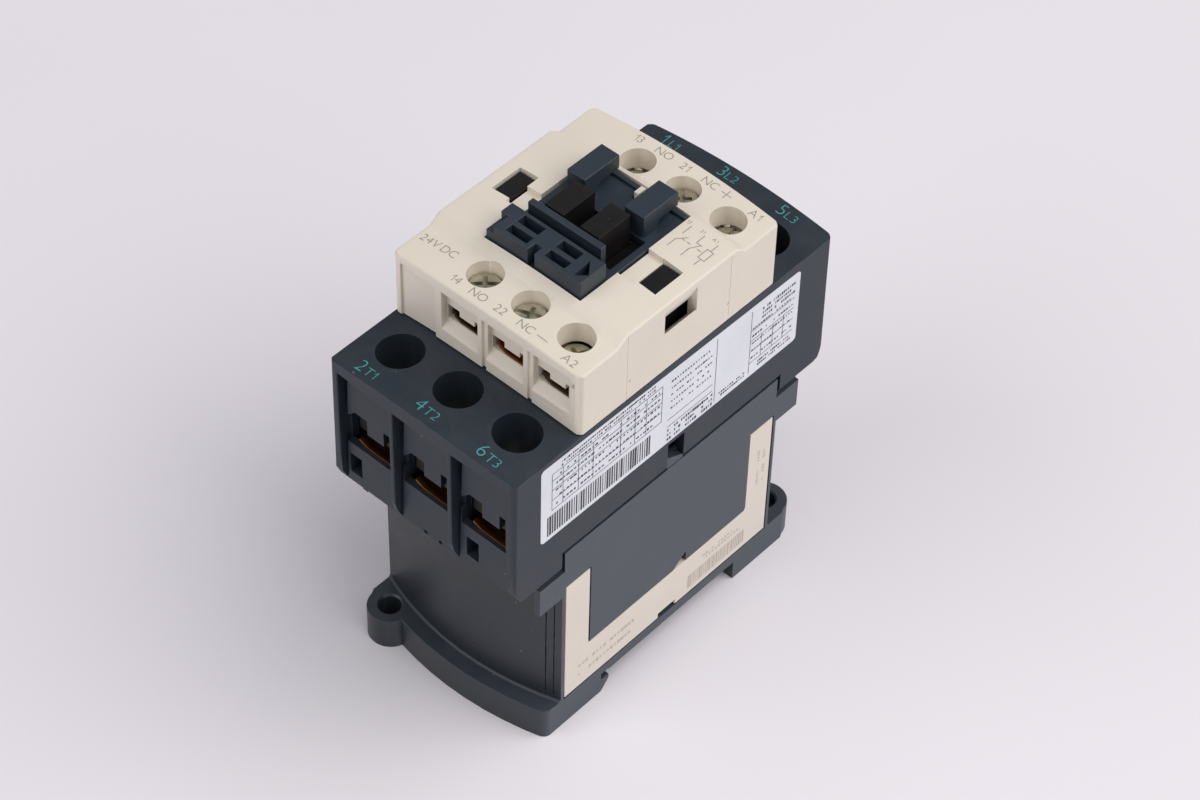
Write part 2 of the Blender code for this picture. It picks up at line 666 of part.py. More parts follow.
def build_cover():
    """Front housing, arched across, with a raised plateau."""
    low = BLOCK_TOP + GAP
    rows = [(-COVER_END_Y, STEP_TOP), (-PLATEAU_FOOT_Y, STEP_TOP), (-PLATEAU_EDGE_Y, PLATEAU_TOP)]
    rows += [(-y, top) for y, top in reversed(rows)]
    shape = arched([(y, low, top, True) for y, top in rows], COVER_BOW)
    cover = piece("front_cover", CREAM, 0.45, 0, shape)
    cut(cover, box(both(COVER_ROOM_HALF_X), both(COVER_ROOM_HALF_Y), (low - 2 * CUT, COVER_ROOF)))
    for name, end in ENDS:
        open_cover_end(cover, end, low)
    above = (COVER_ROOF - LAP, PLATEAU_TOP + CUT)
    eyes = [(side * EYE_IN_X, side * EYE_OUT_X) for side in (-1, 1)]
    cut(cover, *[box(span, (EYE_FRONT_Y, EYE_REAR_Y), above) for span in eyes])
    walls = [(side * (COVER_ROOM_HALF_X - LAP), side * (HALF + CUT)) for side in (-1, 1)]
    span, heights = (SIDE_SLOT_FRONT_Y, SIDE_SLOT_REAR_Y), (SIDE_SLOT_LOW, SIDE_SLOT_HIGH)
    cut(cover, *[box(wall, span, heights) for wall in walls])
    cut(cover, *[prism(slope_outline(side), "y", *span) for side in (-1, 1)])
    heights = (FRAME_LOW - GAP, PLATEAU_TOP + CUT)
    cut(cover, box(both(FRAME_HALF_X + GAP), both(FRAME_HALF_Y + GAP), heights))
    cut(cover, box(both(FRAME_OPEN_X), (FRAME_OPEN_FRONT, FRAME_OPEN_REAR), above))
    left, front = REAR_NOTCH_FROM_X + GAP, REAR_NOTCH_FRONT_Y + GAP
    heights = (FRAME_LOW - GAP - LAP, CATCH_TOP)
    add(cover, box((left, left + CATCH_WIDE), (front, front + CATCH_LONG), heights))


def open_cover_end(cover, end, low):
    """Terminal rooms, screw holes and wire slits at one end of the cover."""
    deep = (end * (COVER_ROOM_HALF_Y - LAP), end * SMALL_BAY_END_Y)
    under = low - 2 * CUT
    rooms = [box(around(x, SMALL_BAY_HALF_X), deep, (under, SMALL_BAY_ROOF)) for x in SMALL_X]
    rooms.append(box((-COVER_ROOM_HALF_X, BLANK_TO_X - LAP), deep, (under, COVER_ROOF)))
    cut(cover, *rooms)
    heights = (SMALL_BAY_ROOF - LAP, STEP_TOP + CUT)
    cut(cover, *[rod(x, end * SMALL_Y, SMALL_HOLE / 2, "z", *heights) for x in SMALL_X])
    cut(cover, *[prism(bay_outline(end), "x", *around(x, FACE_BAY_HALF_X)) for x in SMALL_X])
    out = end * (COVER_END_Y + CUT)
    cut(cover, *[prism(slit_outline(x), "y", end * (SMALL_BAY_END_Y - LAP), out) for x in SMALL_X])
    cut(cover, box((BLANK_FROM_X, BLANK_TO_X), (end * BLANK_Y, out), (under, FACE_BAY_HIGH)))
    slot = (SMALL_X[-1], BLADE_IN_X + BLADE_THICK + GAP)
    cut(cover, box(slot, blade_span(end, GAP), (under, SMALL_BAR_HIGH + GAP)))


def slope_outline(side):
    """End outline of the slope that leads down into the slot of a side wall."""
    inner, wall, out = side * (HALF - SIDE_SLOPE_DEEP), side * HALF, side * (HALF + CUT)
    return [(inner, SIDE_SLOT_HIGH), (wall, SIDE_SLOPE_TOP), (out, SIDE_SLOPE_TOP), (out, SIDE_SLOT_HIGH)]


def bay_outline(end):
    """Side outline of a recess in the end of the cover, with a ramp at its foot."""
    wall, out = end * COVER_END_Y, end * (COVER_END_Y + CUT)
    deep, foot = end * FACE_BAY_Y, FACE_BAY_LOW - FACE_RAMP_DROP
    ramp = [(out, foot - FACE_RAMP_DROP), (wall, foot), (deep, FACE_BAY_LOW)]
    return ramp + [(deep, FACE_BAY_HIGH), (out, FACE_BAY_HIGH)]


def slit_outline(x):
    """Wire slit of a small terminal, with a tongue hanging into it."""
    steps = [(-SLIT_LEFT, SLIT_SILL), (SLIT_RIGHT, SLIT_SILL), (SLIT_RIGHT, SLIT_HIGH)]
    steps += [(SLIT_TONGUE_RIGHT, SLIT_HIGH), (SLIT_TONGUE_RIGHT, SLIT_TONGUE)]
    steps += [(-SLIT_TONGUE_LEFT, SLIT_TONGUE), (-SLIT_TONGUE_LEFT, SLIT_HIGH), (-SLIT_LEFT, SLIT_HIGH)]
    return [(x + step, z) for step, z in steps]


def build_frame():
    """Clip frame that takes add-on blocks, set into the plateau."""
    plate = box(both(FRAME_HALF_X), both(FRAME_HALF_Y), (FRAME_LOW, FRAME_TOP))
    frame = piece("accessory_frame", FRAME_BLUE, 0.45, 0, plate)
    through = (FRAME_LOW - CUT, FRAME_TOP + CUT)
    cut(frame, box(both(FRAME_OPEN_X), (FRAME_OPEN_FRONT, FRAME_OPEN_REAR), through))
    add(frame, box(both(FRAME_HALF_X), (-FRAME_HALF_Y, BRACKET_REAR_Y), (FRAME_LOW, BRACKET_TOP)))
    above = (FRAME_TOP, BRACKET_TOP + CUT)
    cut(frame, *[box(column, row, above) for row in BRACKET_ROWS for column in BRACKET_COLUMNS])
    cut(frame, box(BRACKET_NOTCH_X, (-FRAME_HALF_Y - CUT, BRACKET_NOTCH_REAR_Y), above))
    cut(frame, prism(BRACKET_PIT, "z", BRACKET_PIT_FLOOR, BRACKET_TOP + CUT))
    step = (BRACKET_STEP_TOP, BRACKET_TOP + CUT)
    cut(frame, box((-FRAME_HALF_X - CUT, BRACKET_STEP_X), (-FRAME_HALF_Y - CUT, BRACKET_STEP_Y), step))
    add(frame, box(both(RIDGE_HALF_X), (RIDGE_FRONT_Y, RIDGE_REAR_Y), (FRAME_LOW, RIDGE_TOP)))
    under = HOOK_TOP - HOOK_THICK
    hook = [(HOOK_FRONT_Y, FRAME_LOW), (HOOK_FRONT_Y, HOOK_TOP), (HOOK_REAR_Y, HOOK_TOP)]
    hook += [(HOOK_REAR_Y, under), (HOOK_FOOT_Y + HOOK_CORNER, under)]
    hook += [(HOOK_FOOT_Y, under - HOOK_CORNER), (HOOK_FOOT_Y, FRAME_LOW)]
    add(frame, *[prism(hook, "x", *span) for span in HOOK_SPANS_X])
    notch = (REAR_NOTCH_FROM_X, REAR_NOTCH_TO_X)
    cut(frame, box(notch, (REAR_NOTCH_FRONT_Y, FRAME_HALF_Y + CUT), through))


def build_carrier():
    """Moving carrier for the contacts; its bars show inside the clip frame."""
    wide_x, wide_y = SLOT_HALF_X - GAP, SLOT_HALF_Y - GAP
    shape = box(both(wide_x), both(wide_y), (CARRIER_WIDE_LOW, CARRIER_WIDE_HIGH))
    carrier = piece("contact_carrier", CARRIER_BROWN, 0.5, 0, shape, (0, 0, STEM_LOW))
    add(carrier, box(both(STEM_HALF_X), both(wide_y), (STEM_LOW, CARRIER_WIDE_LOW + LAP)))
    add(carrier, box(both(HEAD_HALF_X), both(HEAD_HALF_Y), (CARRIER_WIDE_HIGH - LAP, HEAD_HIGH)))
    arms = [(side * (EYE_IN_X + GAP), side * (EYE_OUT_X - GAP)) for side in (-1, 1)]
    span = (EYE_FRONT_Y + GAP, EYE_REAR_Y - GAP)
    add(carrier, *[box(arm, span, (HEAD_HIGH - LAP, ARM_HIGH)) for arm in arms])
    bars = [(side * BAR_IN_X, side * BAR_OUT_X) for side in (-1, 1)]
    add(carrier, *[box(bar, (BAR_FRONT_Y, BAR_REAR_Y), (HEAD_HIGH - LAP, BAR_TOP)) for bar in bars])
    cut(carrier, *carrier_windows(both(wide_y + CUT)))
    neck = (STEM_LOW - CUT, NECK_HIGH + GAP)
    cut(carrier, box(both(NECK_HALF_X + GAP), both(NECK_HALF_Y + GAP), neck))
    cut(carrier, rod(0, PIN_Z, PIN_RADIUS + GAP, "x", *both(SLOT_HALF_X + CUT)))


def carrier_windows(through):
    """Windows of the carrier in which the bridges ride."""
    heights = (POLE_WINDOW_LOW, POLE_WINDOW_HIGH)
    windows = [box(around(x, POLE_WINDOW_HALF_X), through, heights) for x in POLE_X]
    rise = SMALL_BRIDGE_THICK + CARRIER_TRAVEL - BRIDGE_STROKE + GAP
    for x, low in ((SMALL_X[0], MAKE_BRIDGE_LOW), (SMALL_X[1], BREAK_BRIDGE_LOW)):
        windows.append(box(around(x, SMALL_BRIDGE_HALF_X + GAP), through, (low - GAP, low + rise)))
    return windows


def core_outline():
    """Side outline of the three-limbed core."""
    yoke = CORE_LOW + YOKE_THICK
    right = [(CORE_HALF_Y, CORE_LOW), (CORE_HALF_Y, CORE_HIGH), (LIMB_INNER_Y, CORE_HIGH)]
    right += [(LIMB_INNER_Y, yoke), (MIDDLE_LIMB_Y, yoke), (MIDDLE_LIMB_Y, CORE_HIGH)]
    return right + [(-y, z) for y, z in reversed(right)]


def build_coil():
    """Core, bobbin and winding in the base."""
    piece("fixed_core", LAMINATED, 0.4, 1, prism(core_outline(), "x", *both(CORE_HALF_X)))
    hole_x, hole_y = CORE_HALF_X + GAP, MIDDLE_LIMB_Y + GAP
    tube_x, tube_y = hole_x + SPOOL_WALL, hole_y + SPOOL_WALL
    tube = box(both(tube_x), both(tube_y), (BOBBIN_LOW, BOBBIN_HIGH))
    bobbin = piece("coil_bobbin", BOBBIN_BLACK, 0.5, 0, tube)
    lower = (BOBBIN_LOW, BOBBIN_LOW + FLANGE_THICK)
    upper = (BOBBIN_HIGH - FLANGE_THICK, BOBBIN_HIGH)
    add(bobbin, *[box(both(BOBBIN_HALF_X), both(BOBBIN_HALF_Y), plate) for plate in (lower, upper)])
    reach = (BOBBIN_HALF_X - 2 * LAP, BLADE_IN_X - GAP)
    add(bobbin, *[box(reach, blade_span(end, -GAP), (upper[0], HORN_HIGH)) for name, end in ENDS])
    cut(bobbin, box(both(hole_x), both(hole_y), (BOBBIN_LOW - CUT, BOBBIN_HIGH + CUT)))
    out_x, out_y = BOBBIN_HALF_X - WINDING_INSET, BOBBIN_HALF_Y - WINDING_INSET
    shape = box(both(out_x), both(out_y), (lower[1] + GAP, upper[0] - GAP))
    winding = piece("coil_winding", AMBER, 0.4, 0.6, shape)
    cut(winding, box(both(tube_x + GAP), both(tube_y + GAP), (BOBBIN_LOW, BOBBIN_HIGH)))


def build_armature():
    """Armature pinned to the carrier, and the springs that lift both."""
    plate = box(both(CORE_HALF_X), both(CORE_HALF_Y), (ARMATURE_LOW, ARMATURE_HIGH))
    armature = piece("armature", LAMINATED, 0.4, 1, plate, (0, 0, ARMATURE_LOW))
    add(armature, box(both(NECK_HALF_X), both(NECK_HALF_Y), (ARMATURE_HIGH - LAP, NECK_HIGH)))
    cut(armature, rod(0, PIN_Z, PIN_RADIUS + GAP, "x", *both(HALF)))
    pin = rod(0, PIN_Z, PIN_RADIUS, "x", *both(PIN_HALF_X), SCREW_SIDES)
    piece("armature_pin", STEEL, 0.3, 1, pin, (0, 0, PIN_Z), True)
    low, high = BOBBIN_HIGH + GAP, STEM_LOW - GAP
    for name, side in (("left", -1), ("right", 1)):
        x = side * RETURN_SPRING_X
        shape = helix(x, 0, low, high, RETURN_SPRING_RADIUS, RETURN_SPRING_TURNS)
        piece("return_spring_" + name, STEEL, 0.35, 1, shape, (x, 0, low), True)


def build_bridges():
    """Moving contacts and their springs."""
    outline = tipped(BRIDGE_HALF_Y, BRIDGE_LOW, BRIDGE_THICK, TIP_LONG, -BRIDGE_TIP)
    top = CONTACT_SPRING_LOW + CONTACT_SPRING_LONG
    for pole, x in enumerate(POLE_X, 1):
        shape = prism(outline, "x", *around(x, BRIDGE_HALF_X))
        piece("main_bridge_" + str(pole), COPPER, 0.35, 1, shape, (x, 0, BRIDGE_LOW))
        shape = helix(x, 0, CONTACT_SPRING_LOW, top, CONTACT_SPRING_RADIUS, CONTACT_SPRING_TURNS)
        piece("contact_spring_" + str(pole), STEEL, 0.35, 1, shape, (x, 0, top), True)
    long = SMALL_BRIDGE_HALF_Y - SMALL_TIP_INNER_Y
    make = ("make", SMALL_X[0], MAKE_BRIDGE_LOW, -SMALL_TIP)
    rest = ("break", SMALL_X[1], BREAK_BRIDGE_LOW, SMALL_TIP)
    for name, x, low, tip in (make, rest):
        outline = tipped(SMALL_BRIDGE_HALF_Y, low, SMALL_BRIDGE_THICK, long, tip)
        shape = prism(outline, "x", *around(x, SMALL_BRIDGE_HALF_X))
        piece(name + "_bridge", BRASS, 0.35, 1, shape, (x, 0, low))


def tipped(half_y, low, thick, long, tip):
    """Side outline of a bridge with a contact tip at each end, under it or on top of it."""
    near, far = half_y - long, half_y
    level, back = (low, low + thick) if tip < 0 else (low + thick, low)
    right = [(near, level), (near, level + tip), (far, level + tip), (far, back)]
    return right + [(-y, z) for y, z in reversed(right)]


def build_screw(name, x, y, under_head, head, thick, shank, long):
    """Cross-slotted screw with a domed head."""
    edge, core, foot = head / 2, shank / 2, under_head - long
    profile = [(core - SCREW_POINT, foot), (core, foot + SCREW_LEAD), (core, under_head), (edge, under_head)]
    profile += [(edge, under_head + thick * RIM_SHARE), (edge * FLAT_SHARE, under_head + thick)]
    screw = piece(name, STEEL, 0.3, 1, lathe(profile, x, y), (x, y, under_head), True)
    reach, slot = edge * SLOT_REACH_SHARE, edge * SLOT_WIDE_SHARE
    arms = [(-reach, -slot), (-slot, -slot), (-slot, -reach), (slot, -reach), (slot, -slot), (reach, -slot)]
    arms += [(-u, -v) for u, v in arms]
    floor = under_head + thick * SLOT_FLOOR_SHARE
    cut(screw, prism([(x + u, y + v) for u, v in arms], "z", floor, under_head + thick + CUT))


def build_clamp(name, at, half_x, span, leg, thick, shank):
    """Saddle with two turned-down legs and a hole for its screw."""
    x, y, low = at
    back, front = sorted(span)
    under, high = low + leg, low + leg + thick
    side = [(back, low), (back + CLAMP_WALL, low), (back + CLAMP_WALL, under)]
    side += [(front - CLAMP_WALL, under), (front - CLAMP_WALL, low), (front, low)]
    side += [(front, high), (back, high)]
    clamp = piece(name, COPPER, 0.35, 1, prism(side, "x", *around(x, half_x)), at)
    cut(clamp, rod(x, y, shank / 2 + GAP, "z", low - CUT, high + CUT))


def build_power_terminals():
    """Fixed contact, clamp and screw of each pole at both ends."""
    top = BAR_HIGH + TIP_THICK
    low = BAR_HIGH + GAP + POWER_TRAVEL
    under_head = low + POWER_CLAMP_LEG + POWER_CLAMP_THICK + GAP
    for name, end in ENDS:
        y = end * POWER_SCREW_Y
        near, far, tip = end * BAR_INNER_Y, end * BAR_OUTER_Y, end * (BAR_INNER_Y + TIP_LONG)
        side = [(near, BAR_LOW), (far, BAR_LOW), (far, BAR_HIGH)]
        side += [(tip, BAR_HIGH), (tip, top), (near, top)]
        span = (y - end * POWER_CLAMP_IN, y + end * POWER_CLAMP_OUT)
        for pole, x in enumerate(POLE_X, 1):
            label = "_" + str(pole)
            shape = prism(side, "x", *around(x, BAR_HALF_X))
            bar = piece(name + "_terminal" + label, COPPER, 0.35, 1, shape, (x, y, BAR_LOW))
            cut(bar, rod(x, y, POWER_SHANK / 2 + GAP, "z", BAR_LOW - CUT, BAR_HIGH + CUT))
            size = (POWER_CLAMP_HALF_X, span, POWER_CLAMP_LEG, POWER_CLAMP_THICK, POWER_SHANK)
            build_clamp(name + "_clamp" + label, (x, y, low), *size)
            size = (POWER_HEAD, POWER_HEAD_THICK, POWER_SHANK, POWER_SHANK_LONG)
            build_screw(name + "_screw" + label, x, y, under_head, *size)


def finger_outline(end, level, tip):
    """Side outline of a small contact that steps up or down from its terminal to its tip."""
    near, turn = end * SMALL_TIP_INNER_Y, end * FINGER_TURN_Y
    root, far = end * (FINGER_TURN_Y + FINGER_THICK), end * SMALL_BAR_OUTER_Y
    pad = end * SMALL_BRIDGE_HALF_Y
    inner, outer, back = SMALL_BAR_HIGH, SMALL_BAR_LOW, level - FINGER_THICK
    if tip < 0:
        inner, outer, back = SMALL_BAR_LOW, SMALL_BAR_HIGH, level + FINGER_THICK
    side = [(far, outer), (far, inner), (turn, inner), (turn, level), (pad, level), (pad, level + tip)]
    return side + [(near, level + tip), (near, back), (root, back), (root, outer)]


def build_contact(name, x, y, end, first):
    """Small fixed contact: the first kind is closed by the carrier, the other one opened."""
    level, tip = (MAKE_LEVEL, SMALL_TIP) if first else (BREAK_LEVEL, -SMALL_TIP)
    shape = prism(finger_outline(end, level, tip), "x", *around(x, SMALL_BAR_HALF_X))
    return piece("contact_" + name, BRASS, 0.35, 1, shape, (x, y, SMALL_BAR_LOW))


def build_coil_terminal(name, x, y, end):
    """Coil terminal with a blade that runs down to the bobbin."""
    span = (end * SMALL_BAR_INNER_Y, end * SMALL_BAR_OUTER_Y)
    shape = box(around(x, SMALL_BAR_HALF_X), span, (SMALL_BAR_LOW, SMALL_BAR_HIGH))
    bar = piece("coil_terminal_" + name, BRASS, 0.35, 1, shape, (x, y, SMALL_BAR_LOW))
    outside = BLADE_IN_X + BLADE_THICK
    elbow = [(x, SMALL_BAR_LOW), (BLADE_IN_X, SMALL_BAR_LOW), (BLADE_IN_X, BLADE_LOW)]
    elbow += [(outside, BLADE_LOW), (outside, SMALL_BAR_HIGH), (x, SMALL_BAR_HIGH)]
    add(bar, prism(elbow, "y", *sorted(blade_span(end, 0))))
    return bar


def build_small_terminals():
    """Small contacts, coil terminals, clamps and screws of the front cover."""
    for end_name, end in ENDS:
        y = end * SMALL_Y
        span = around(y, SMALL_CLAMP_HALF_Y)
        for place, (x, name) in enumerate(zip(SMALL_X, SMALL_NAMES[end])):
            if place < 2:
                bar = build_contact(name, x, y, end, place == 0)
            else:
                bar = build_coil_terminal(name, x, y, end)
            cut(bar, rod(x, y, SMALL_SHANK / 2 + GAP, "z", SMALL_BAR_LOW - CUT, SMALL_BAR_HIGH + CUT))
            low = SMALL_BAR_HIGH + GAP + SMALL_TRAVEL * (name in BACKED_OUT)
            size = (SMALL_CLAMP_HALF_X, span, SMALL_CLAMP_LEG, SMALL_CLAMP_THICK, SMALL_SHANK)
            build_clamp("small_clamp_" + name, (x, y, low), *size)
            under_head = low + SMALL_CLAMP_LEG + SMALL_CLAMP_THICK + GAP
            size = (SMALL_HEAD, SMALL_HEAD_THICK, SMALL_SHANK, SMALL_SHANK_LONG)
            build_screw("small_screw_" + name, x, y, under_head, *size)


for old in list(bpy.data.objects):
    bpy.data.objects.remove(old, do_unlink=True)
build_base()
build_module()
build_clip()
build_block()
build_cover()
build_frame()
build_carrier()
build_coil()
build_armature()
build_bridges()
build_power_terminals()
build_small_terminals()
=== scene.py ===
"""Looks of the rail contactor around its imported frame, in metres.

+Z points out of the front, +Y to the line end, +X to the side with the label.
"""
import math

import bmesh
import bpy
from mathutils import Matrix, Vector


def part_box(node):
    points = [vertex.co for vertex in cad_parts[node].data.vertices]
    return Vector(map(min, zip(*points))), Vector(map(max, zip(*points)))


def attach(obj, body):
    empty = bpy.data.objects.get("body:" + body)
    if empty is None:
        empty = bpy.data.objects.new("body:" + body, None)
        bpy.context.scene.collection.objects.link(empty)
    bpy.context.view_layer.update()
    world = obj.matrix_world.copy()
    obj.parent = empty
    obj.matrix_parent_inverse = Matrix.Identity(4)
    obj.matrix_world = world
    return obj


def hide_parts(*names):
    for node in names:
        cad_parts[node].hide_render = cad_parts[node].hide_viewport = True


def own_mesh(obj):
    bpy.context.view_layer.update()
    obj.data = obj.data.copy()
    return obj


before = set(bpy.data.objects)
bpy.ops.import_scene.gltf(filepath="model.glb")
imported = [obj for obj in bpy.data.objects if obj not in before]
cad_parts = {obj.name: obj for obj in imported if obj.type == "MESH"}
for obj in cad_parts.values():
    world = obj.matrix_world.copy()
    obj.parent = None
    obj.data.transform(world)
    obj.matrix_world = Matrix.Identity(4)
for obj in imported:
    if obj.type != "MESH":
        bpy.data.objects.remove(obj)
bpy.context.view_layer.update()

MM = 0.001

# The two ways along an axis, and the names of the two terminal rows
WAYS = (-1, 1)
ROWS = ((-1, "load"), (1, "line"))

# Housing as a whole, in millimetres
HALF = 22.5
ARCH_SAG = 1.23
BOW_FADE = 1.6
BOW_FULL = 0.45
CORNER_ZONE = 1.65

# Contact block
BLOCK_TOP = 79.3
BLOCK_END = 43.07
BLOCK_BOW = 0.47
SLOPE_LOW = 49.7
SLOPE_HIGH = 54.4
LATCH_Y = (-2.0, 2.5)
LATCH_Z = (51.6, 56.8)
BAY_FLOOR = 41.27
BAY_LEFT = (-20.7, -6.675, 7.525)

# Front cover
STEP_TOP = 94.2
PLATEAU_TOP = 95.9
PLATEAU_EDGE = 14.5
PLATEAU_FOOT = 16.9
COVER_END = 26.6
COVER_BOW = 0.4
COVER_UNDER = 79.6
BAY_HALF = 4.4

# Magnet base
LUG_X = 17.5
LUG_Y = 35.0
LUG_RADIUS = 4.56
LUG_SIDE = ((22.5, 32.5), (22.5, 34.6), (21.7, 36.2), (19.5, 36.2), (19.5, 32.5))
LUG_HOLE = 2.22
WALL_CORNER = 29.9
WALL_BOW = 4.0
FLANGE_TOP = 7.5
FLANGE_CORNER = 34.0
FLANGE_SLANT = 0.289
FLANGE_ROUND = 1.3

# Terminals
POLE_X = (-14.2, 0.0, 14.2)
POWER_Y = 33.1
POWER_HOLE = 4.52
SMALL_X = (-5.93, 4.89, 15.71)
SMALL_Y = 19.9
SMALL_HOLE = 3.42
SMALL_NAMES = {-1: ("14", "22", "a2"), 1: ("13", "21", "a1")}
SMALL_TURNS = {"14": 0.75, "22": 0.35, "a2": 1.2, "13": 0.1, "21": 2.3, "a1": 1.7}
BACKED_OUT = ("14", "22", "21")

# Clip frame and carrier
BRACKET_TOP = 99.3
FRAME_TOP = 95.0
FRAME_HALF_X = 11.2
FRAME_HALF_Y = 14.2
RIM_TOP = 95.6
ARM_TOP = 94.5
REAR_NOTCH = (0.2, 2.6)
HOOK_SPANS = ((-9.5, -5.1), (4.2, 8.9))
HOOK_FRONT = 4.8
HOOK_FOOT = 8.4
HOOK_REAR = 14.0
HOOK_UNDER = 96.9
HOOK_TOP = 100.1
FOOT_ROUND = 1.1
PIT = ((8.9, -13.3), (8.6, -8.9), (10.9, -11.7))
PIT_FILLED = ((9.2, -13.4), (8.85, -8.5), (11.0, -11.8))

# Photograph's view: distances in millimetres, angles in degrees
VIEW_TARGET = (0, 0, 45.0)
VIEW_AZIMUTH = 41.076
VIEW_ELEVATION = 47.099
VIEW_ROLL = 1.648
VIEW_DISTANCE = 622.96
VIEW_OFFSET = (-3.157, -3.869)
VIEW_LENS = 99.83


def srgb(red, green, blue):
    """A screen colour from 0 to 255 as the linear colour of a socket."""
    return [((value / 255 + 0.055) / 1.055) ** 2.4 for value in (red, green, blue)] + [1.0]


def arch(x):
    """Drop of the arched front faces at a distance from the middle, in millimetres."""
    return ARCH_SAG * (x / HALF) ** 2


class Sheet:
    """A node tree that is filled in from left to right."""

    def __init__(self, tree):
        self.tree = tree

    def node(self, kind, links=None, **settings):
        made = self.tree.nodes.new(kind)
        for key, value in settings.items():
            setattr(made, key, value)
        for key, value in (links or {}).items():
            self.feed(made.inputs[key], value)
        return made

    def feed(self, socket, value):
        if isinstance(value, bpy.types.NodeSocket):
            self.tree.links.new(value, socket)
        else:
            socket.default_value = value

    def math(self, operation, *values, clamp=False):
        made = self.node("ShaderNodeMath", operation=operation, use_clamp=clamp)
        for socket, value in zip(made.inputs, values):
            self.feed(socket, value)
        return made.outputs[0]

    def times(self, *values, clamp=False):
        return self.math("MULTIPLY", *values, clamp=clamp)

    def plus(self, *values):
        return self.math("ADD", *values)

    def vector(self, **parts):
        return self.node("ShaderNodeCombineXYZ", parts).outputs[0]

    def grow(self, kind, settings=None, **links):
        """Outputs of a node whose inputs are given by name."""
        links = {label.replace("_", " "): value for label, value in links.items()}
        return self.node(kind, links, **(settings or {})).outputs

    def lifted(self, geometry, level):
        shift = self.vector(Z=level)
        return self.grow("GeometryNodeTransform", Geometry=geometry, Translation=shift)[0]

    def joined(self, *geometries):
        made = self.node("GeometryNodeJoinGeometry")
        for geometry in geometries:
            self.feed(made.inputs[0], geometry)
        return made.outputs[0]

    def blend(self, factor, first, second, mode="MIX"):
        links = {0: factor, 6: first, 7: second}
        return self.node("ShaderNodeMix", links, data_type="RGBA", blend_type=mode).outputs[2]

    def normal(self, axis):
        """One part of the face's normal."""
        whole = self.node("ShaderNodeNewGeometry").outputs["Normal"]
        return self.node("ShaderNodeSeparateXYZ", {0: whole}).outputs[axis]

    def noise(self, where, scale, detail=3.0, rough=0.5):
        links = {"Vector": where, "Scale": scale, "Detail": detail, "Roughness": rough}
        return self.node("ShaderNodeTexNoise", links).outputs["Fac"]

    def ramp(self, value, low, high):
        made = self.node("ShaderNodeMapRange", {"Value": value, "From Min": low, "From Max": high})
        return made.outputs["Result"]


def shader_group(name, inputs, outputs):
    """An empty shader group with named sockets; gives the sheet, its inputs and its output node."""
    tree = bpy.data.node_groups.new(name, "ShaderNodeTree")
    for label, value in inputs:
        kind = "NodeSocketVector" if value is None else "NodeSocketFloat"
        socket = tree.interface.new_socket(label, in_out="INPUT", socket_type=kind)
        if value is not None:
            socket.default_value = value
    for label in outputs:
        tree.interface.new_socket(label, in_out="OUTPUT", socket_type="NodeSocketFloat")
    sheet = Sheet(tree)
    return sheet, sheet.node("NodeGroupInput").outputs, sheet.node("NodeGroupOutput").inputs


def moulded_grain_group():
    """Fine spark-eroded grain with broad uneven patches, as height and as a patch mask."""
    sheet, given, made = shader_group(
        "moulded_grain", [("Where", None), ("Grain Scale", 2600.0), ("Patch Scale", 70.0)],
        ("Height", "Patch"))
    fine = sheet.noise(given["Where"], given["Grain Scale"], 2.0, 0.6)
    coarse = sheet.noise(given["Where"], sheet.times(given["Grain Scale"], 0.31), 2.0, 0.5)
    sheet.feed(made["Height"], sheet.plus(sheet.times(fine, 0.6), sheet.times(coarse, 0.4)))
    patches = sheet.noise(given["Where"], given["Patch Scale"], 5.0, 0.6)
    sheet.feed(made["Patch"], sheet.ramp(patches, 0.3, 0.7))
    return sheet.tree


def edge_wear_and_highlight_group():
    """Edge mask for rubbed wear and for painted highlight: where the rounded normal leaves the flat
    one, broken up by a noise.
    """
    sheet, given, made = shader_group(
        "edge_wear", [("Where", None), ("Reach", 0.0004), ("Break Scale", 420.0)],
        ("Edge", "Rubbed"))
    bevel = sheet.node("ShaderNodeBevel", {"Radius": given["Reach"]}, samples=6)
    plain = sheet.node("ShaderNodeNewGeometry").outputs["Normal"]
    turn = sheet.node(
        "ShaderNodeVectorMath", {0: bevel.outputs["Normal"], 1: plain}, operation="DOT_PRODUCT")
    edge = sheet.ramp(turn.outputs["Value"], 0.995, 0.86)
    rough = sheet.ramp(sheet.noise(given["Where"], given["Break Scale"], 4.0, 0.65), 0.45, 0.72)
    sheet.feed(made["Edge"], edge)
    sheet.feed(made["Rubbed"], sheet.times(edge, rough, clamp=True))
    return sheet.tree


def dust_group():
    """Scattered pale specks and a thin film on faces that look up."""
    sheet, given, made = shader_group(
        "dust", [("Where", None), ("Speck Scale", 900.0), ("Speck Size", 0.16)], ("Speck", "Film"))
    cells = sheet.node("ShaderNodeTexVoronoi", {
        "Vector": given["Where"], "Scale": given["Speck Scale"], "Randomness": 1.0}).outputs
    chance = sheet.node("ShaderNodeSeparateColor", {0: cells["Color"]}).outputs
    chosen = sheet.math("GREATER_THAN", chance[0], 0.985)
    size = sheet.times(given["Speck Size"], sheet.plus(chance[1], 0.35))
    sheet.feed(made["Speck"], sheet.times(chosen, sheet.math("LESS_THAN", cells["Distance"], size)))
    up = sheet.ramp(sheet.normal("Z"), 0.2, 1.0)
    cloud = sheet.ramp(sheet.noise(given["Where"], 190.0, 6.0, 0.7), 0.4, 0.8)
    sheet.feed(made["Film"], sheet.times(up, cloud, clamp=True))
    return sheet.tree


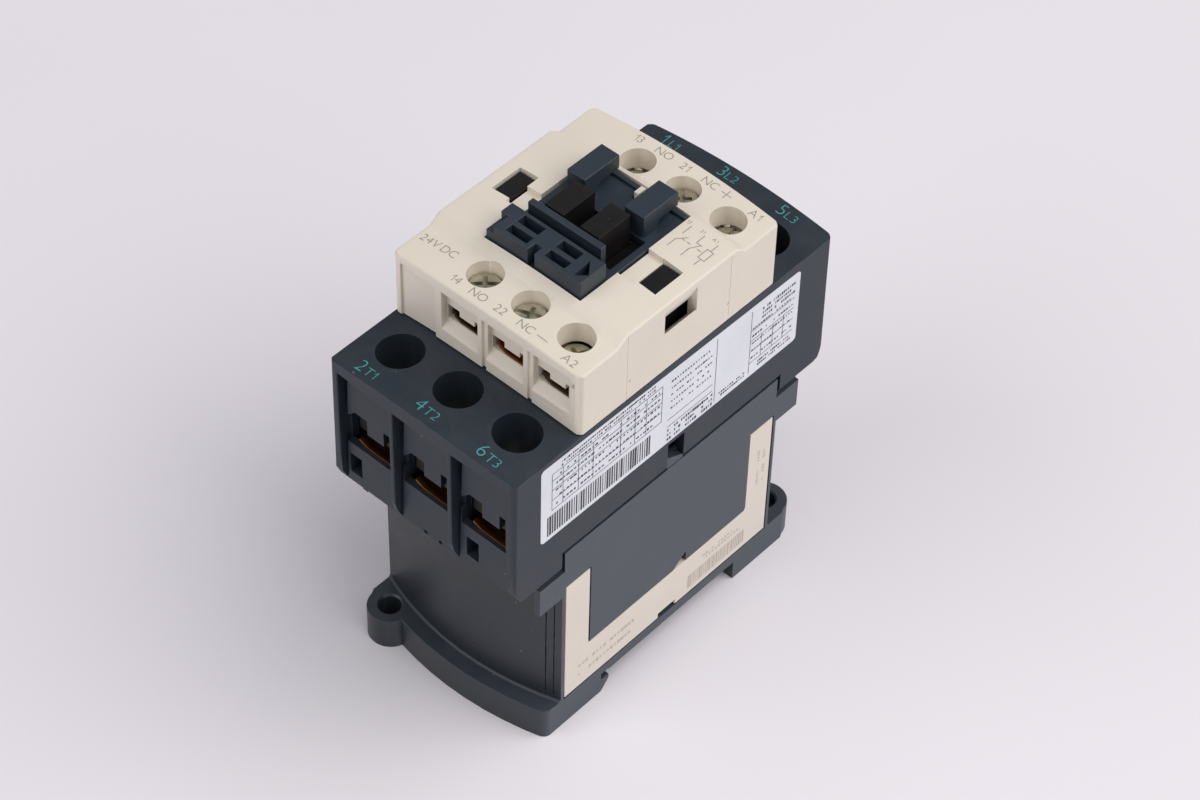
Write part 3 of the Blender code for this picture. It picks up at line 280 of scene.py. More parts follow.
def brushed_group():
    """Fine drawn lines along one axis with soft tarnish clouds, for metal."""
    sheet, given, made = shader_group(
        "drawn_metal", [("Where", None), ("Line Scale", 900.0), ("Cloud Scale", 160.0)],
        ("Lines", "Tarnish"))
    stretch = sheet.node("ShaderNodeMapping", {"Vector": given["Where"], "Scale": (1.0, 0.06, 1.0)})
    sheet.feed(made["Lines"], sheet.noise(stretch.outputs[0], given["Line Scale"], 3.0, 0.6))
    clouds = sheet.noise(given["Where"], given["Cloud Scale"], 5.0, 0.65)
    sheet.feed(made["Tarnish"], sheet.ramp(clouds, 0.35, 0.75))
    return sheet.tree


GRAIN = moulded_grain_group()
WEAR_AND_HIGHLIGHT = edge_wear_and_highlight_group()
DUST = dust_group()
DRAWN = brushed_group()


def new_material(name, roughness, metallic=0.0):
    """A material with its sheet, its shader and the object's own coordinates."""
    material = bpy.data.materials.new(name)
    material.use_nodes = True
    sheet = Sheet(material.node_tree)
    shader = material.node_tree.nodes["Principled BSDF"]
    shader.inputs["Roughness"].default_value = roughness
    shader.inputs["Metallic"].default_value = metallic
    where = sheet.node("ShaderNodeTexCoord").outputs["Object"]
    return material, sheet, shader, where


def placed(sheet, group, **values):
    """A shared group placed in a material with its own values."""
    return sheet.grow("ShaderNodeGroup", {"node_tree": group}, **values)


def bump(sheet, shader, height, strength, distance):
    """Fine relief from a height, in metres."""
    links = {"Strength": strength, "Distance": distance, "Height": height}
    sheet.feed(shader.inputs["Normal"], sheet.node("ShaderNodeBump", links).outputs[0])


def plastic(name, base, light, worn_and_highlit, roughness, grain=0.12, dusty=0.0, gloss=0.5,
            sides=None, ends=None):
    """Moulded plastic: patches, edges lightened as wear and painted highlight, fine grain, dust,
    painted light and shade on sides and ends.
    """
    material, sheet, shader, where = new_material(name, roughness)
    skin = placed(sheet, GRAIN, Where=where)
    edges = placed(sheet, WEAR_AND_HIGHLIGHT, Where=where)
    colour = sheet.blend(skin["Patch"], srgb(*base), srgb(*light))
    # Painted light and shade: faces that look along X (sides) or Y (ends) have their colour
    # multiplied by a given factor, lighter or darker by how the light falls on them
    for axis, tone in (("X", sides), ("Y", ends)):
        if tone:
            painted_light_facing = sheet.ramp(sheet.math("ABSOLUTE", sheet.normal(axis)), 0.75, 0.95)
            colour = sheet.blend(painted_light_facing, colour, [tone, tone, tone, 1.0], "MULTIPLY")
    # Edges lightened towards the edge colour: partly rubbed wear, partly painted highlight
    colour = sheet.blend(sheet.times(edges["Rubbed"], 0.55), colour, srgb(*worn_and_highlit))
    if dusty:
        dust = placed(sheet, DUST, Where=where)
        colour = sheet.blend(sheet.times(dust["Film"], 0.05 * dusty), colour, srgb(190, 188, 186))
        colour = sheet.blend(sheet.times(dust["Speck"], 0.28 * dusty), colour, srgb(214, 212, 208))
    sheet.feed(shader.inputs["Base Color"], colour)
    rough = sheet.plus(sheet.times(skin["Patch"], 0.1), roughness - 0.05)
    rough = sheet.math("SUBTRACT", rough, sheet.times(edges["Edge"], 0.08))
    sheet.feed(shader.inputs["Roughness"], rough)
    shader.inputs["Specular IOR Level"].default_value = gloss
    bump(sheet, shader, skin["Height"], grain, 0.00012)
    return material


def metal(name, base, dull, bright, roughness, lines=0.08):
    """Drawn metal with tarnish clouds, and edges painted brighter, partly as rubbed wear and partly
    as painted highlight.
    """
    material, sheet, shader, where = new_material(name, roughness, 1.0)
    drawn = placed(sheet, DRAWN, Where=where)
    edges = placed(sheet, WEAR_AND_HIGHLIGHT, Where=where, Reach=0.0002)
    colour = sheet.blend(drawn["Tarnish"], srgb(*base), srgb(*dull))
    # Edges painted brighter: partly rubbed wear, partly painted highlight
    colour = sheet.blend(sheet.times(edges["Rubbed"], 0.7), colour, srgb(*bright))
    sheet.feed(shader.inputs["Base Color"], colour)
    rough = sheet.plus(sheet.times(drawn["Tarnish"], 0.16), roughness)
    sheet.feed(shader.inputs["Roughness"], sheet.plus(rough, sheet.times(drawn["Lines"], 0.1)))
    bump(sheet, shader, drawn["Lines"], lines, 0.00008)
    return material


def print_ink(name, base, thin):
    """Pad-printed ink, a little thin in places."""
    roughness = 0.5
    material, sheet, shader, where = new_material(name, roughness)
    cover = sheet.ramp(sheet.noise(where, 2300.0, 3.0, 0.6), 0.4, 0.75)
    sheet.feed(shader.inputs["Base Color"], sheet.blend(cover, srgb(*base), srgb(*thin)))
    sheet.feed(shader.inputs["Roughness"], sheet.plus(sheet.times(cover, 0.12), roughness))
    return material


def paper(name, base, shade):
    """Coated label stock with a faint fibre."""
    material, sheet, shader, where = new_material(name, 0.42)
    fibre = sheet.noise(where, 1500.0, 4.0, 0.7)
    cloud = sheet.ramp(sheet.noise(where, 90.0, 3.0, 0.5), 0.35, 0.7)
    sheet.feed(shader.inputs["Base Color"], sheet.blend(cloud, srgb(*base), srgb(*shade)))
    sheet.feed(shader.inputs["Roughness"], sheet.plus(sheet.times(fibre, 0.12), 0.36))
    bump(sheet, shader, fibre, 0.05, 0.00005)
    return material


# Mesh making, in millimetres until the mesh is written

MERGE = 0.000001
FLAT_ANGLE = math.radians(0.2)
BEVEL_ANGLE = math.radians(28)
ROUND_SIDES = 64
ROUND_STEPS = 8
SHARP = 40
ROOM_SHARE = 0.42
SIDEWAYS = 0.8
LEVEL = 0.7
END_DEPTH = 0.5
NEAR = 0.02


def prism(outline, axis, low, high):
    """Extrude an outline, given in the two other axes in order, along one axis."""
    turn = {"x": (2, 0, 1), "y": (0, 2, 1), "z": (0, 1, 2)}[axis]
    count = len(outline)
    rows = [(u, v, level) for level in (low, high) for u, v in outline]
    verts = [tuple(row[index] for index in turn) for row in rows]
    faces = [[i, (i + 1) % count, count + (i + 1) % count, count + i] for i in range(count)]
    faces.append(list(range(count)))
    faces.append(list(range(count, 2 * count)))
    return verts, faces


def box(x, y, z):
    """A block from three ranges, each given in either order."""
    x, y, z = sorted(x), sorted(y), sorted(z)
    return prism([(x[0], y[0]), (x[1], y[0]), (x[1], y[1]), (x[0], y[1])], "z", z[0], z[1])


def outside_corner(side, end, reach, radius, low, high, slant=0.0):
    """What lies outside the round of an upright corner of the housing."""
    turns = [math.pi / 2 * step / ROUND_STEPS for step in range(ROUND_STEPS + 1)]
    inset = [(radius * (1 - math.sin(turn)), radius * (1 - math.cos(turn))) for turn in turns]
    outline = [(HALF - u, reach - v) for u, v in inset]
    outline = [(u, v + slant * (HALF - u)) for u, v in outline]
    outline += [(HALF + 1, reach - radius), (HALF + 1, reach + 2), (HALF - radius, reach + 2)]
    return prism([(side * u, end * v) for u, v in outline], "z", low, high)


def circle(u, v, radius, sides):
    turns = [2 * math.pi * (side + 0.5) / sides for side in range(sides)]
    return [(u + radius * math.cos(turn), v + radius * math.sin(turn)) for turn in turns]


def rod(u, v, radius, axis, low, high, sides=ROUND_SIDES):
    """A round bar along an axis."""
    return prism(circle(u, v, radius, sides), axis, low, high)


def turned(x, y, profile, sides=ROUND_SIDES):
    """A solid turned about an upright axis, from rings of a radius and a level each."""
    verts = [(u, v, z) for radius, z in profile for u, v in circle(x, y, radius, sides)]
    faces = [list(range(sides)), list(range(len(verts) - sides, len(verts)))]
    for row in range(0, len(verts) - sides, sides):
        for i in range(sides):
            nxt = (i + 1) % sides
            faces.append([row + i, row + nxt, row + sides + nxt, row + sides + i])
    return verts, faces


def both(half):
    """A range with its middle at nought."""
    return -half, half


def around(middle, half):
    """A range from its middle and half its length."""
    return middle - half, middle + half


def mesh_of(name, shapes):
    """Join shapes that don't meet into one mesh with its faces outwards."""
    shell = bmesh.new()
    for verts, faces in shapes:
        made = [shell.verts.new([value * MM for value in vert]) for vert in verts]
        for face in faces:
            shell.faces.new([made[index] for index in face])
    bmesh.ops.recalc_face_normals(shell, faces=shell.faces)
    mesh = bpy.data.meshes.new(name)
    close_shell(shell, mesh)
    return mesh


def open_shell(mesh):
    shell = bmesh.new()
    shell.from_mesh(mesh)
    return shell


def close_shell(shell, mesh):
    shell.to_mesh(mesh)
    shell.free()


def new_object(name, data):
    item = bpy.data.objects.new(name, data)
    bpy.context.scene.collection.objects.link(item)
    return item


def cad_copy(name, node):
    """A merged copy of a CAD node, with its flat faces made whole again."""
    shell = open_shell(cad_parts[node].data)
    whole_faces(shell)
    mesh = bpy.data.meshes.new(name)
    close_shell(shell, mesh)
    mesh.materials.clear()
    return new_object(name, mesh)


def change(item, operation, *shapes):
    """Add or take away shapes with a Boolean, and settle the result."""
    tool = new_object(item.name + "_tool", mesh_of(item.name + "_tool", shapes))
    step = item.modifiers.new("change", "BOOLEAN")
    step.solver = "EXACT"
    step.operation = operation
    step.object = tool
    settle(item)
    bpy.data.objects.remove(tool, do_unlink=True)


def add(item, *shapes):
    change(item, "UNION", *shapes)


def cut(item, *shapes):
    change(item, "DIFFERENCE", *shapes)


def settle(item):
    """Turn an object's modifiers into its plain mesh."""
    ready = item.evaluated_get(bpy.context.evaluated_depsgraph_get())
    mesh = bpy.data.meshes.new_from_object(ready)
    item.modifiers.clear()
    item.data = mesh
    mesh.name = item.name


def whole_faces(shell):
    """Merge doubled points and join the faces that lie in one plane."""
    bmesh.ops.remove_doubles(shell, verts=shell.verts, dist=MERGE)
    bmesh.ops.dissolve_limit(shell, angle_limit=FLAT_ANGLE, verts=shell.verts, edges=shell.edges)


def round_edges(item, chosen, width, segments=3, axis="z", longer=0.0):
    """Round the sharp edges whose two ends pass a test and that run far enough along an axis."""
    shell = open_shell(item.data)
    whole_faces(shell)
    edges = []
    for edge in shell.edges:
        if edge.is_manifold and edge.calc_face_angle() > BEVEL_ANGLE:
            first, last = [vert.co / MM for vert in edge.verts]
            run = abs(getattr(first, axis) - getattr(last, axis))
            if chosen(first) and chosen(last) and run >= longer:
                edges.append(edge)
    bmesh.ops.bevel(
        shell, geom=edges, offset=width * MM, offset_type="OFFSET", segments=segments,
        profile=0.5, affect="EDGES", clamp_overlap=True, loop_slide=False)
    close_shell(shell, item.data)


def split_along(shell, axis, places):
    """Split the faces along planes across an axis, into plain strips beside an opening."""
    normal = Vector([1.0 if name == axis else 0.0 for name in "xyz"])
    for place in places:
        geometry = list(shell.verts) + list(shell.edges) + list(shell.faces)
        bmesh.ops.bisect_plane(
            shell, geom=geometry, plane_co=normal * place * MM, plane_no=normal, dist=MERGE)


def soften(item, width, segments=2, **planes):
    """Give every outer sharp edge a small round, less of it where the next edge is near."""
    shell = open_shell(item.data)
    whole_faces(shell)
    for axis, places in planes.items():
        split_along(shell, axis, places)
    weight = shell.edges.layers.float.new("bevel_weight_edge")
    for edge in shell.edges:
        if edge.is_convex and edge.calc_face_angle() > BEVEL_ANGLE:
            edge[weight] = min(1.0, ROOM_SHARE * room_beside(edge) / (width * MM))
    close_shell(shell, item.data)
    step = item.modifiers.new("round", "BEVEL")
    step.width = width * MM
    step.segments = segments
    step.limit_method = "WEIGHT"
    step.use_clamp_overlap = False
    settle(item)


def room_beside(edge):
    """Length of the shortest edge that leaves this one sideways along its two faces."""
    along = (edge.verts[1].co - edge.verts[0].co).normalized()
    room = [1.0]
    for vert in edge.verts:
        for other in vert.link_edges:
            if other is not edge and any(face in edge.link_faces for face in other.link_faces):
                lead = (other.verts[1].co - other.verts[0].co).normalized()
                if abs(lead.dot(along)) < SIDEWAYS:
                    room.append(other.calc_length())
    return min(room)


def reshape(item, place):
    """Move every point by a rule from old to new place, in millimetres."""
    for vert in item.data.vertices:
        vert.co = Vector(place(*(vert.co / MM))) * MM


def slice_across(item, step, end):
    """Cut the top, the underside and the ends into strips across X, so that they can bend."""
    shell = open_shell(item.data)
    count = int(2 * HALF / step)
    for index in range(1, count):
        shell.normal_update()
        faces = [face for face in shell.faces
                 if abs(face.normal.z) > LEVEL or reach_of(face) > end - END_DEPTH]
        verts = {vert for face in faces for vert in face.verts}
        edges = {edge for face in faces for edge in face.edges}
        middle = Vector((-HALF + index * 2 * HALF / count, 0, 0)) * MM
        bmesh.ops.bisect_plane(
            shell, geom=list(verts) + list(edges) + faces, plane_co=middle, plane_no=(1, 0, 0),
            dist=MERGE)
    close_shell(shell, item.data)


def reach_of(face):
    """How far along Y, either way, a face reaches, in millimetres."""
    return max(abs(vert.co.y) for vert in face.verts) / MM


def smooth(item, degrees):
    """Smooth shading with the edges over an angle kept sharp."""
    shell = open_shell(item.data)
    shell.normal_update()
    for face in shell.faces:
        face.smooth = True
    for edge in shell.edges:
        edge.smooth = edge.calc_face_angle(0.0) < math.radians(degrees)
    close_shell(shell, item.data)


def shade(item):
    """Smooth shading that keeps flat faces flat."""
    smooth(item, SHARP)
    step = item.modifiers.new("normals", "WEIGHTED_NORMAL")
    step.mode = "FACE_AREA"
    step.weight = 50
    step.keep_sharp = True
    settle(item)


def hand_over(item, material, body, *nodes, slot=None):
    """Give a finished piece its material, hang it on its body's empty and hide the CAD nodes that
    it stands for.
    """
    item.data.materials.clear()
    item.data.materials.append(material)
    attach(item, body)
    if nodes:
        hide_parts(*nodes)


def finish_piece(item, material, body, *nodes, slot=None):
    """Shade a moulded or pressed piece and hand it over."""
    shade(item)
    hand_over(item, material, body, *nodes, slot=slot)


# Finishes

HOUSING = plastic(
    "housing_plastic", (34, 43, 52), (39, 48, 57), (82, 91, 100), 0.46, 0.16, 0.5, 0.36)
# Painted light and shade: the base's faces along X are painted lighter as a sheen, its faces along
# Y darker as shade under the block
BASE = plastic(
    "base_plastic", (46, 53, 61), (51, 58, 66), (98, 106, 114), 0.42, 0.16, 0.5, 0.5,
    sides=1.5, ends=0.6)
# Painted light: the cream's faces along Y are painted lighter
CREAM = plastic(
    "cream_plastic", (223, 214, 200), (219, 210, 195), (236, 230, 219), 0.44, 0.1,
    ends=1.2)
MODULE = plastic(
    "module_plastic", (225, 216, 204), (221, 212, 198), (238, 232, 222), 0.5, 0.1)
FRAME_BLUE = plastic(
    "frame_plastic", (39, 48, 58), (43, 52, 62), (86, 96, 108), 0.42, 0.1, 0.2, 0.4)
CARRIER = plastic(
    "carrier_plastic", (19, 17, 17), (23, 21, 20), (58, 54, 52), 0.5, 0.14, 0.2, 0.25)
BLACK = plastic(
    "black_plastic", (24, 25, 27), (28, 29, 31), (66, 66, 68), 0.5, 0.14, 0.0, 0.3)
SHADOW_BLACK = plastic(
    "shaded_black", (9, 9, 10), (12, 12, 13), (30, 30, 31), 0.7, 0.14, 0.0, 0.12)
COPPER = metal("copper", (160, 94, 54), (124, 92, 44), (222, 176, 122), 0.28)
RED_COPPER = metal("red_copper", (176, 92, 58), (132, 62, 38), (224, 158, 122), 0.34)
BRASS = metal("brass", (204, 168, 102), (160, 126, 70), (238, 212, 160), 0.26)
BRONZE = metal("aged_brass", (104, 84, 56), (70, 55, 38), (158, 132, 94), 0.36)
STEEL = metal("zinc_steel", (224, 221, 207), (166, 161, 142), (250, 249, 242), 0.2)
# Painted shade: the clamp plates get a dark colour well below bare steel, for the shadow they lie
# in inside the wire windows; their brighter edges are painted highlights
SHADED_CLAMP = metal("clamp_steel", (72, 68, 62), (50, 46, 42), (168, 162, 150), 0.4)
SHEETS = metal("core_steel", (128, 130, 134), (92, 90, 88), (176, 178, 182), 0.36, 0.2)
ENAMEL = metal("enamelled_wire", (172, 96, 46), (132, 66, 30), (220, 146, 86), 0.24)
TEAL_INK = print_ink("teal_ink", (70, 158, 160), (52, 128, 134))
GREY_INK = print_ink("grey_ink", (140, 136, 128), (164, 159, 150))
DARK_INK = print_ink("label_ink", (44, 42, 46), (72, 70, 74))
PALE_INK = print_ink("pale_ink", (184, 174, 160), (204, 194, 180))
LABEL = paper("label_stock", (226, 228, 234), (218, 221, 228))


# Limits that tell one face of the housing from another, in millimetres
SIDE_FACE = 22.4
CLEAR = 24.0
UPRIGHT = 5

# Contact block: openings, edges and their rounds
ARCH_LOW = 77.9
ROUNDED_LOW = 78.5
SLEEVE_WALL = 0.8
SLEEVE_Z = (67.2, 74.6)
HOLE_Z = (66.0, 83.0)
PIN_HOLES = ((-0.73, 47.5, 0.45), (2.95, 47.45, 0.5))
PIN_Y = (-46.0, -37.0)
FINE_SIDES = 16
LATCH_X = (19.5, CLEAR)
KEEL_Y = 30.1
KEEL_TOP = 46.5
KEEL_RUN = 2
BLOCK_RIM = (21.3, 41.3)
BLOCK_END_TOP = 78.0
BLOCK_CORNERS = ((-1, 1.1), (1, 1.4))
BAY_TAPER = ((0.0, 75.6), (0.0, 47.5), (0.25, 47.5), (1.3, 75.6))
STRIP = 1.5


def block_laid_flat(x, y, z):
    """The block's arched top and bowed ends made flat."""
    if ARCH_LOW < z < BLOCK_TOP + 0.1:
        z = BLOCK_TOP
    if abs(y) > BLOCK_END - BLOCK_BOW - 0.05:
        y = math.copysign(BLOCK_END, y)
    return x, y, z


def block_bent_back(x, y, z):
    """The flat block given its arch and bow again."""
    share = (x / HALF) ** 2
    if ROUNDED_LOW < z < BLOCK_TOP + 0.1:
        z -= ARCH_SAG * share
    rise = min(1.0, max(0.0, (z - SLOPE_LOW) / (SLOPE_HIGH - SLOPE_LOW)))
    return x, y - math.copysign(BLOCK_BOW * share * rise * bow_share(x, y, BLOCK_END), y), z


def bow_share(x, y, end):
    """Share of an end's bow at a place: all at the end, fading out round the upright corners."""
    if abs(x) > HALF - CORNER_ZONE:
        return min(1.0, max(0.0, (abs(y) - end + BOW_FADE) / (BOW_FADE - BOW_FULL)))
    return 1.0 if abs(y) > end - BOW_FULL else 0.0


def contact_block_piece():
    """Dark middle housing: round sleeved holes and corners, a latch window and two pin holes."""
    item = cad_copy("contact_block_shell", "contact_block")
    reshape(item, block_laid_flat)
    for end in WAYS:
        y, sleeve = end * POWER_Y, POWER_HOLE + SLEEVE_WALL
        add(item, *[rod(x, y, sleeve, "z", *SLEEVE_Z) for x in POLE_X])
        cut(item, *[rod(x, y, POWER_HOLE, "z", *HOLE_Z) for x in POLE_X])
    cut(item, *[rod(x, z, radius, "y", *PIN_Y, FINE_SIDES) for x, z, radius in PIN_HOLES])
    cut(item, box(LATCH_X, LATCH_Y, LATCH_Z))

    def keel(p):
        return abs(p.x) > SIDE_FACE and p.z < KEEL_TOP and abs(p.y) > KEEL_Y

    def rim(p):
        return p.z > BLOCK_TOP - NEAR and outside(p, BLOCK_RIM)

    def end_edge(p):
        return abs(p.y) > BLOCK_END - NEAR and p.z < BLOCK_END_TOP

    round_edges(item, keel, 1.5, 4, "y", KEEL_RUN)
    for side in WAYS:
        for end, radius in BLOCK_CORNERS:
            cut(item, outside_corner(side, end, BLOCK_END, radius, 40.0, 90.0))
    round_edges(item, rim, 0.4)
    round_edges(item, hole_rims(POLE_X, POWER_Y, POWER_HOLE, BLOCK_TOP), 0.35)
    round_edges(item, end_edge, 0.25)
    for end in WAYS:
        deep = sorted((end * (BAY_FLOOR - 1.3), end * (BAY_FLOOR + 0.2)))
        wedges = [[(x + u, z) for u, z in BAY_TAPER] for x in BAY_LEFT]
        cut(item, *[prism(wedge, "y", *deep) for wedge in wedges])
    slice_across(item, STRIP, BLOCK_END)
    reshape(item, block_bent_back)
    finish_piece(item, HOUSING, "housing", "contact_block", slot="housing")


def hole_rims(places, reach, radius, level):
    """A test for the rims of the round holes at both ends."""
    centres = [(x, end * reach) for x in places for end in WAYS]

    def on_rim(point):
        return any(abs(math.hypot(point.x - x, point.y - y) - radius) < NEAR for x, y in centres)

    return lambda point: abs(point.z - level) < NEAR and on_rim(point)


def outside(point, limits):
    """Whether a point lies beyond a limit across or along."""
    return abs(point.x) > limits[0] or abs(point.y) > limits[1]


def wall_reach(x):
    """Reach of the base's bowed end wall at a place across."""
    return WALL_CORNER + WALL_BOW * (1 - (x / HALF) ** 2)


# Magnet base: catch at the side, rebate of the seam, grooves and the module's notch
CATCH_X = 20.0
CATCH_Y = around(0.25, 2.6)
CATCH_Z = (51.0, 57.0)
CATCH_RAMP = ((-1.9, 49.6), (2.4, 49.6), (2.4, 50.9), (-1.9, 53.0))
RAMP_X = (21.0, SIDE_FACE)
SEAM_X = 21.7
SEAM_Z = (49.95, 52.0)
SEAM_END_Y = (29.4, 38.0)
SEAM_END_Z = (44.9, 52.0)
MODULE_NICK = ((22.6, 18.2), (22.6, 19.15), (21.5, 18.2))
NICK_X = 22.2
MODULE_NOTCH = ((0.8, 18.0), (5.0, 18.0), (5.0, 21.2), (3.8, 20.6))
NOTCH_X = 21.0
GROOVES_X = (19.4, 21.0)
GROOVE_HALF = 0.14
GROOVE_Y = (-34.0, -29.0)
GROOVE_Z = (9.0, 37.5)
WALL_NEAR = 0.06


def magnet_base_piece():
    """Dark lower housing: round lugs, a filleted foot, grooves and the notch at the module."""
    item = cad_copy("magnet_base_shell", "magnet_base")
    for side in WAYS:
        clear, seam = side * CLEAR, (side * SEAM_X, side * CLEAR)
        add(item, rod(side * LUG_X, side * LUG_Y, LUG_RADIUS, "z", 0.0, FLANGE_TOP))
        add(item, prism([(side * u, side * v) for u, v in LUG_SIDE], "z", 0.0, FLANGE_TOP))
        cut(item, box((side * CATCH_X, clear), CATCH_Y, CATCH_Z))
        cut(item, box(seam, both(40.0), SEAM_Z))
        cut(item, *[box(seam, [end * y for y in SEAM_END_Y], SEAM_END_Z) for end in WAYS])
        cut(item, outside_corner(side, -side, FLANGE_CORNER, FLANGE_ROUND, -1.0, 9.0, FLANGE_SLANT))
        add(item, prism(CATCH_RAMP, "x", *sorted(side * x for x in RAMP_X)))
    cut(item, prism(MODULE_NICK, "x", NICK_X, CLEAR))
    cut(item, *[box(around(x, GROOVE_HALF), GROOVE_Y, GROOVE_Z) for x in GROOVES_X])
    cut(item, prism(MODULE_NOTCH, "x", NOTCH_X, CLEAR))

    def on_flange(p):
        return abs(p.z - FLANGE_TOP) < NEAR

    def foot(p):
        return on_flange(p) and abs(abs(p.y) - wall_reach(p.x)) < WALL_NEAR

    def flange(p):
        return on_flange(p) and abs(p.y) > wall_reach(p.x) + 1.0

    def corner(p):
        return abs(p.x) > SIDE_FACE and abs(p.y) > WALL_CORNER - 0.1

    round_edges(item, foot, 0.7)
    round_edges(item, flange, 0.35)
    round_edges(item, corner, 0.4, longer=UPRIGHT)
    rings = ((LUG_HOLE, -3.0), (LUG_HOLE, FLANGE_TOP - 0.35), (LUG_HOLE + 0.45, FLANGE_TOP + 0.1))
    cut(item, *[turned(side * LUG_X, side * LUG_Y, rings) for side in WAYS])
    finish_piece(item, BASE, "housing", "magnet_base", slot="housing")


# Front cover: ribs, sills, shallow recesses, mould creases and dots
COVER_HOLE_Z = (88.0, 98.0)
RIB_DEPTH = 0.55
RIB_WIDTH = 1.02
RIB_Z = (78.0, 91.4)
SILL = ((22.35, 87.6), (22.35, 87.42), (20.2, 84.9), (20.2, 87.6))
SILL_Y = (-4.6, 3.9)
RECESSES = (
    ((10.9, 15.2), (-4.9, 3.3), (94.75, 98.0)), ((-15.2, -10.9), (-4.9, 0.4), (94.75, 98.0)),
    ((19.75, 21.0), (-27.5, -24.5), (89.3, 90.6)), ((11.8, 19.8), (-27.5, -26.35), (81.3, 81.5)))
CREASES_Y = (-14.2, 13.0)
CREASE_HALF = 0.06
CREASE_Z = (78.0, 97.0)
DOTS_Y = (-13.65, 12.45)
DOT_Z = 82.6
DOT_RADIUS = 0.45
SKIN_X = (22.35, 23.0)
ROUNDED_TOP = 93.6
COVER_RIM = (21.1, 25.2)
COVER_END_TOP = 93.0


def cover_crown(y):
    """Crown level of the cover's top along Y."""
    share = (PLATEAU_FOOT - abs(y)) / (PLATEAU_FOOT - PLATEAU_EDGE)
    return STEP_TOP + (PLATEAU_TOP - STEP_TOP) * min(1.0, max(0.0, share))


def cover_laid_flat(x, y, z):
    """The cover's arched top and underside and its bowed ends made flat."""
    for level in (cover_crown(y), COVER_UNDER):
        if abs(z + arch(x) - level) < 0.04:
            z = level
    if abs(y) > COVER_END - COVER_BOW - 0.03:
        y = math.copysign(COVER_END, y)
    return x, y, z


def cover_bent_back(x, y, z):
    """The flat cover given its arch and bow again."""
    share = (x / HALF) ** 2
    if z > ROUNDED_TOP or z < COVER_UNDER + 0.4:
        z -= ARCH_SAG * share
    return x, y - math.copysign(COVER_BOW * share * bow_share(x, y, COVER_END), y), z


def front_cover_piece():
    """Cream front housing: round holes, stepped ribs, mould creases, sills, shallow recesses."""
    item = cad_copy("front_cover_shell", "front_cover")
    reshape(item, cover_laid_flat)
    for end in WAYS:
        cut(item, *[rod(x, end * SMALL_Y, SMALL_HOLE, "z", *COVER_HOLE_Z) for x in SMALL_X])
        wall = (end * (COVER_END - RIB_DEPTH), end * (COVER_END + 2))
        ribs = [(x - BAY_HALF - RIB_WIDTH, x - BAY_HALF) for x in SMALL_X[1:]]
        cut(item, *[box(rib, wall, RIB_Z) for rib in ribs])
    for side in WAYS:
        cut(item, prism([(side * x, z) for x, z in SILL], "y", *SILL_Y))
    for recess in RECESSES:
        cut(item, box(*recess))

    def corner(p):
        return abs(p.x) > SIDE_FACE and abs(p.y) > COVER_END - 0.1

    def on_top(p):
        return abs(p.z - cover_crown(p.y)) < NEAR

    def rim(p):
        return on_top(p) and outside(p, COVER_RIM)

    def plateau_line(p):
        return on_top(p) and min(abs(abs(p.y) - y) for y in (PLATEAU_EDGE, PLATEAU_FOOT)) < NEAR

    def end_edge(p):
        return abs(p.y) > COVER_END - NEAR and p.z < COVER_END_TOP

    round_edges(item, corner, 1.3, 4, longer=UPRIGHT)
    round_edges(item, rim, 0.4)
    round_edges(item, hole_rims(SMALL_X, SMALL_Y, SMALL_HOLE, STEP_TOP), 0.3)
    round_edges(item, plateau_line, 0.5)
    round_edges(item, end_edge, 0.25)
    creases = [around(y, CREASE_HALF) for y in CREASES_Y]
    cut(item, *[box((SIDE_FACE, SKIN_X[1]), crease, CREASE_Z) for crease in creases])
    cut(item, *[rod(y, DOT_Z, DOT_RADIUS, "x", *SKIN_X, FINE_SIDES) for y in DOTS_Y])
    slice_across(item, STRIP, COVER_END)
    reshape(item, cover_bent_back)
    finish_piece(item, CREAM, "housing", "front_cover", slot="cream")


# Side module, clip frame and carrier
MODULE_SLOPE = ((22.8, 18.0), (22.8, 19.2), (21.4, 18.0))
SLOPE_DEPTH = 0.25
FOOT_STEPS = 6
BRACKET_LINES = {"x": (-9.6, -8.7, 8.7, 9.6), "y": (-7.5, -6.2, -4.8, 4.5)}
# Thin sheet of painted shade round the carrier's bars, and its two openings
SHADE_SHEET = (both(10.6), (-5.7, 5.3), (93.22, 93.44))
SHADE_SHEET_OPENING_X = (1.55, 6.85)
SHADE_SHEET_OPENING_Y = (-4.6, 4.3)
ARM_X = (15.2, 19.2)
ARM_Y = (-3.7, 3.1)


def side_module_piece():
    """Cream module: its inner corner at the line end is filled by a small slope."""
    item = cad_copy("side_module", "suppressor_module")
    add(item, prism(MODULE_SLOPE, "x", HALF - SLOPE_DEPTH, HALF))
    soften(item, 0.15)
    finish_piece(item, MODULE, "housing", "suppressor_module", slot="cream")


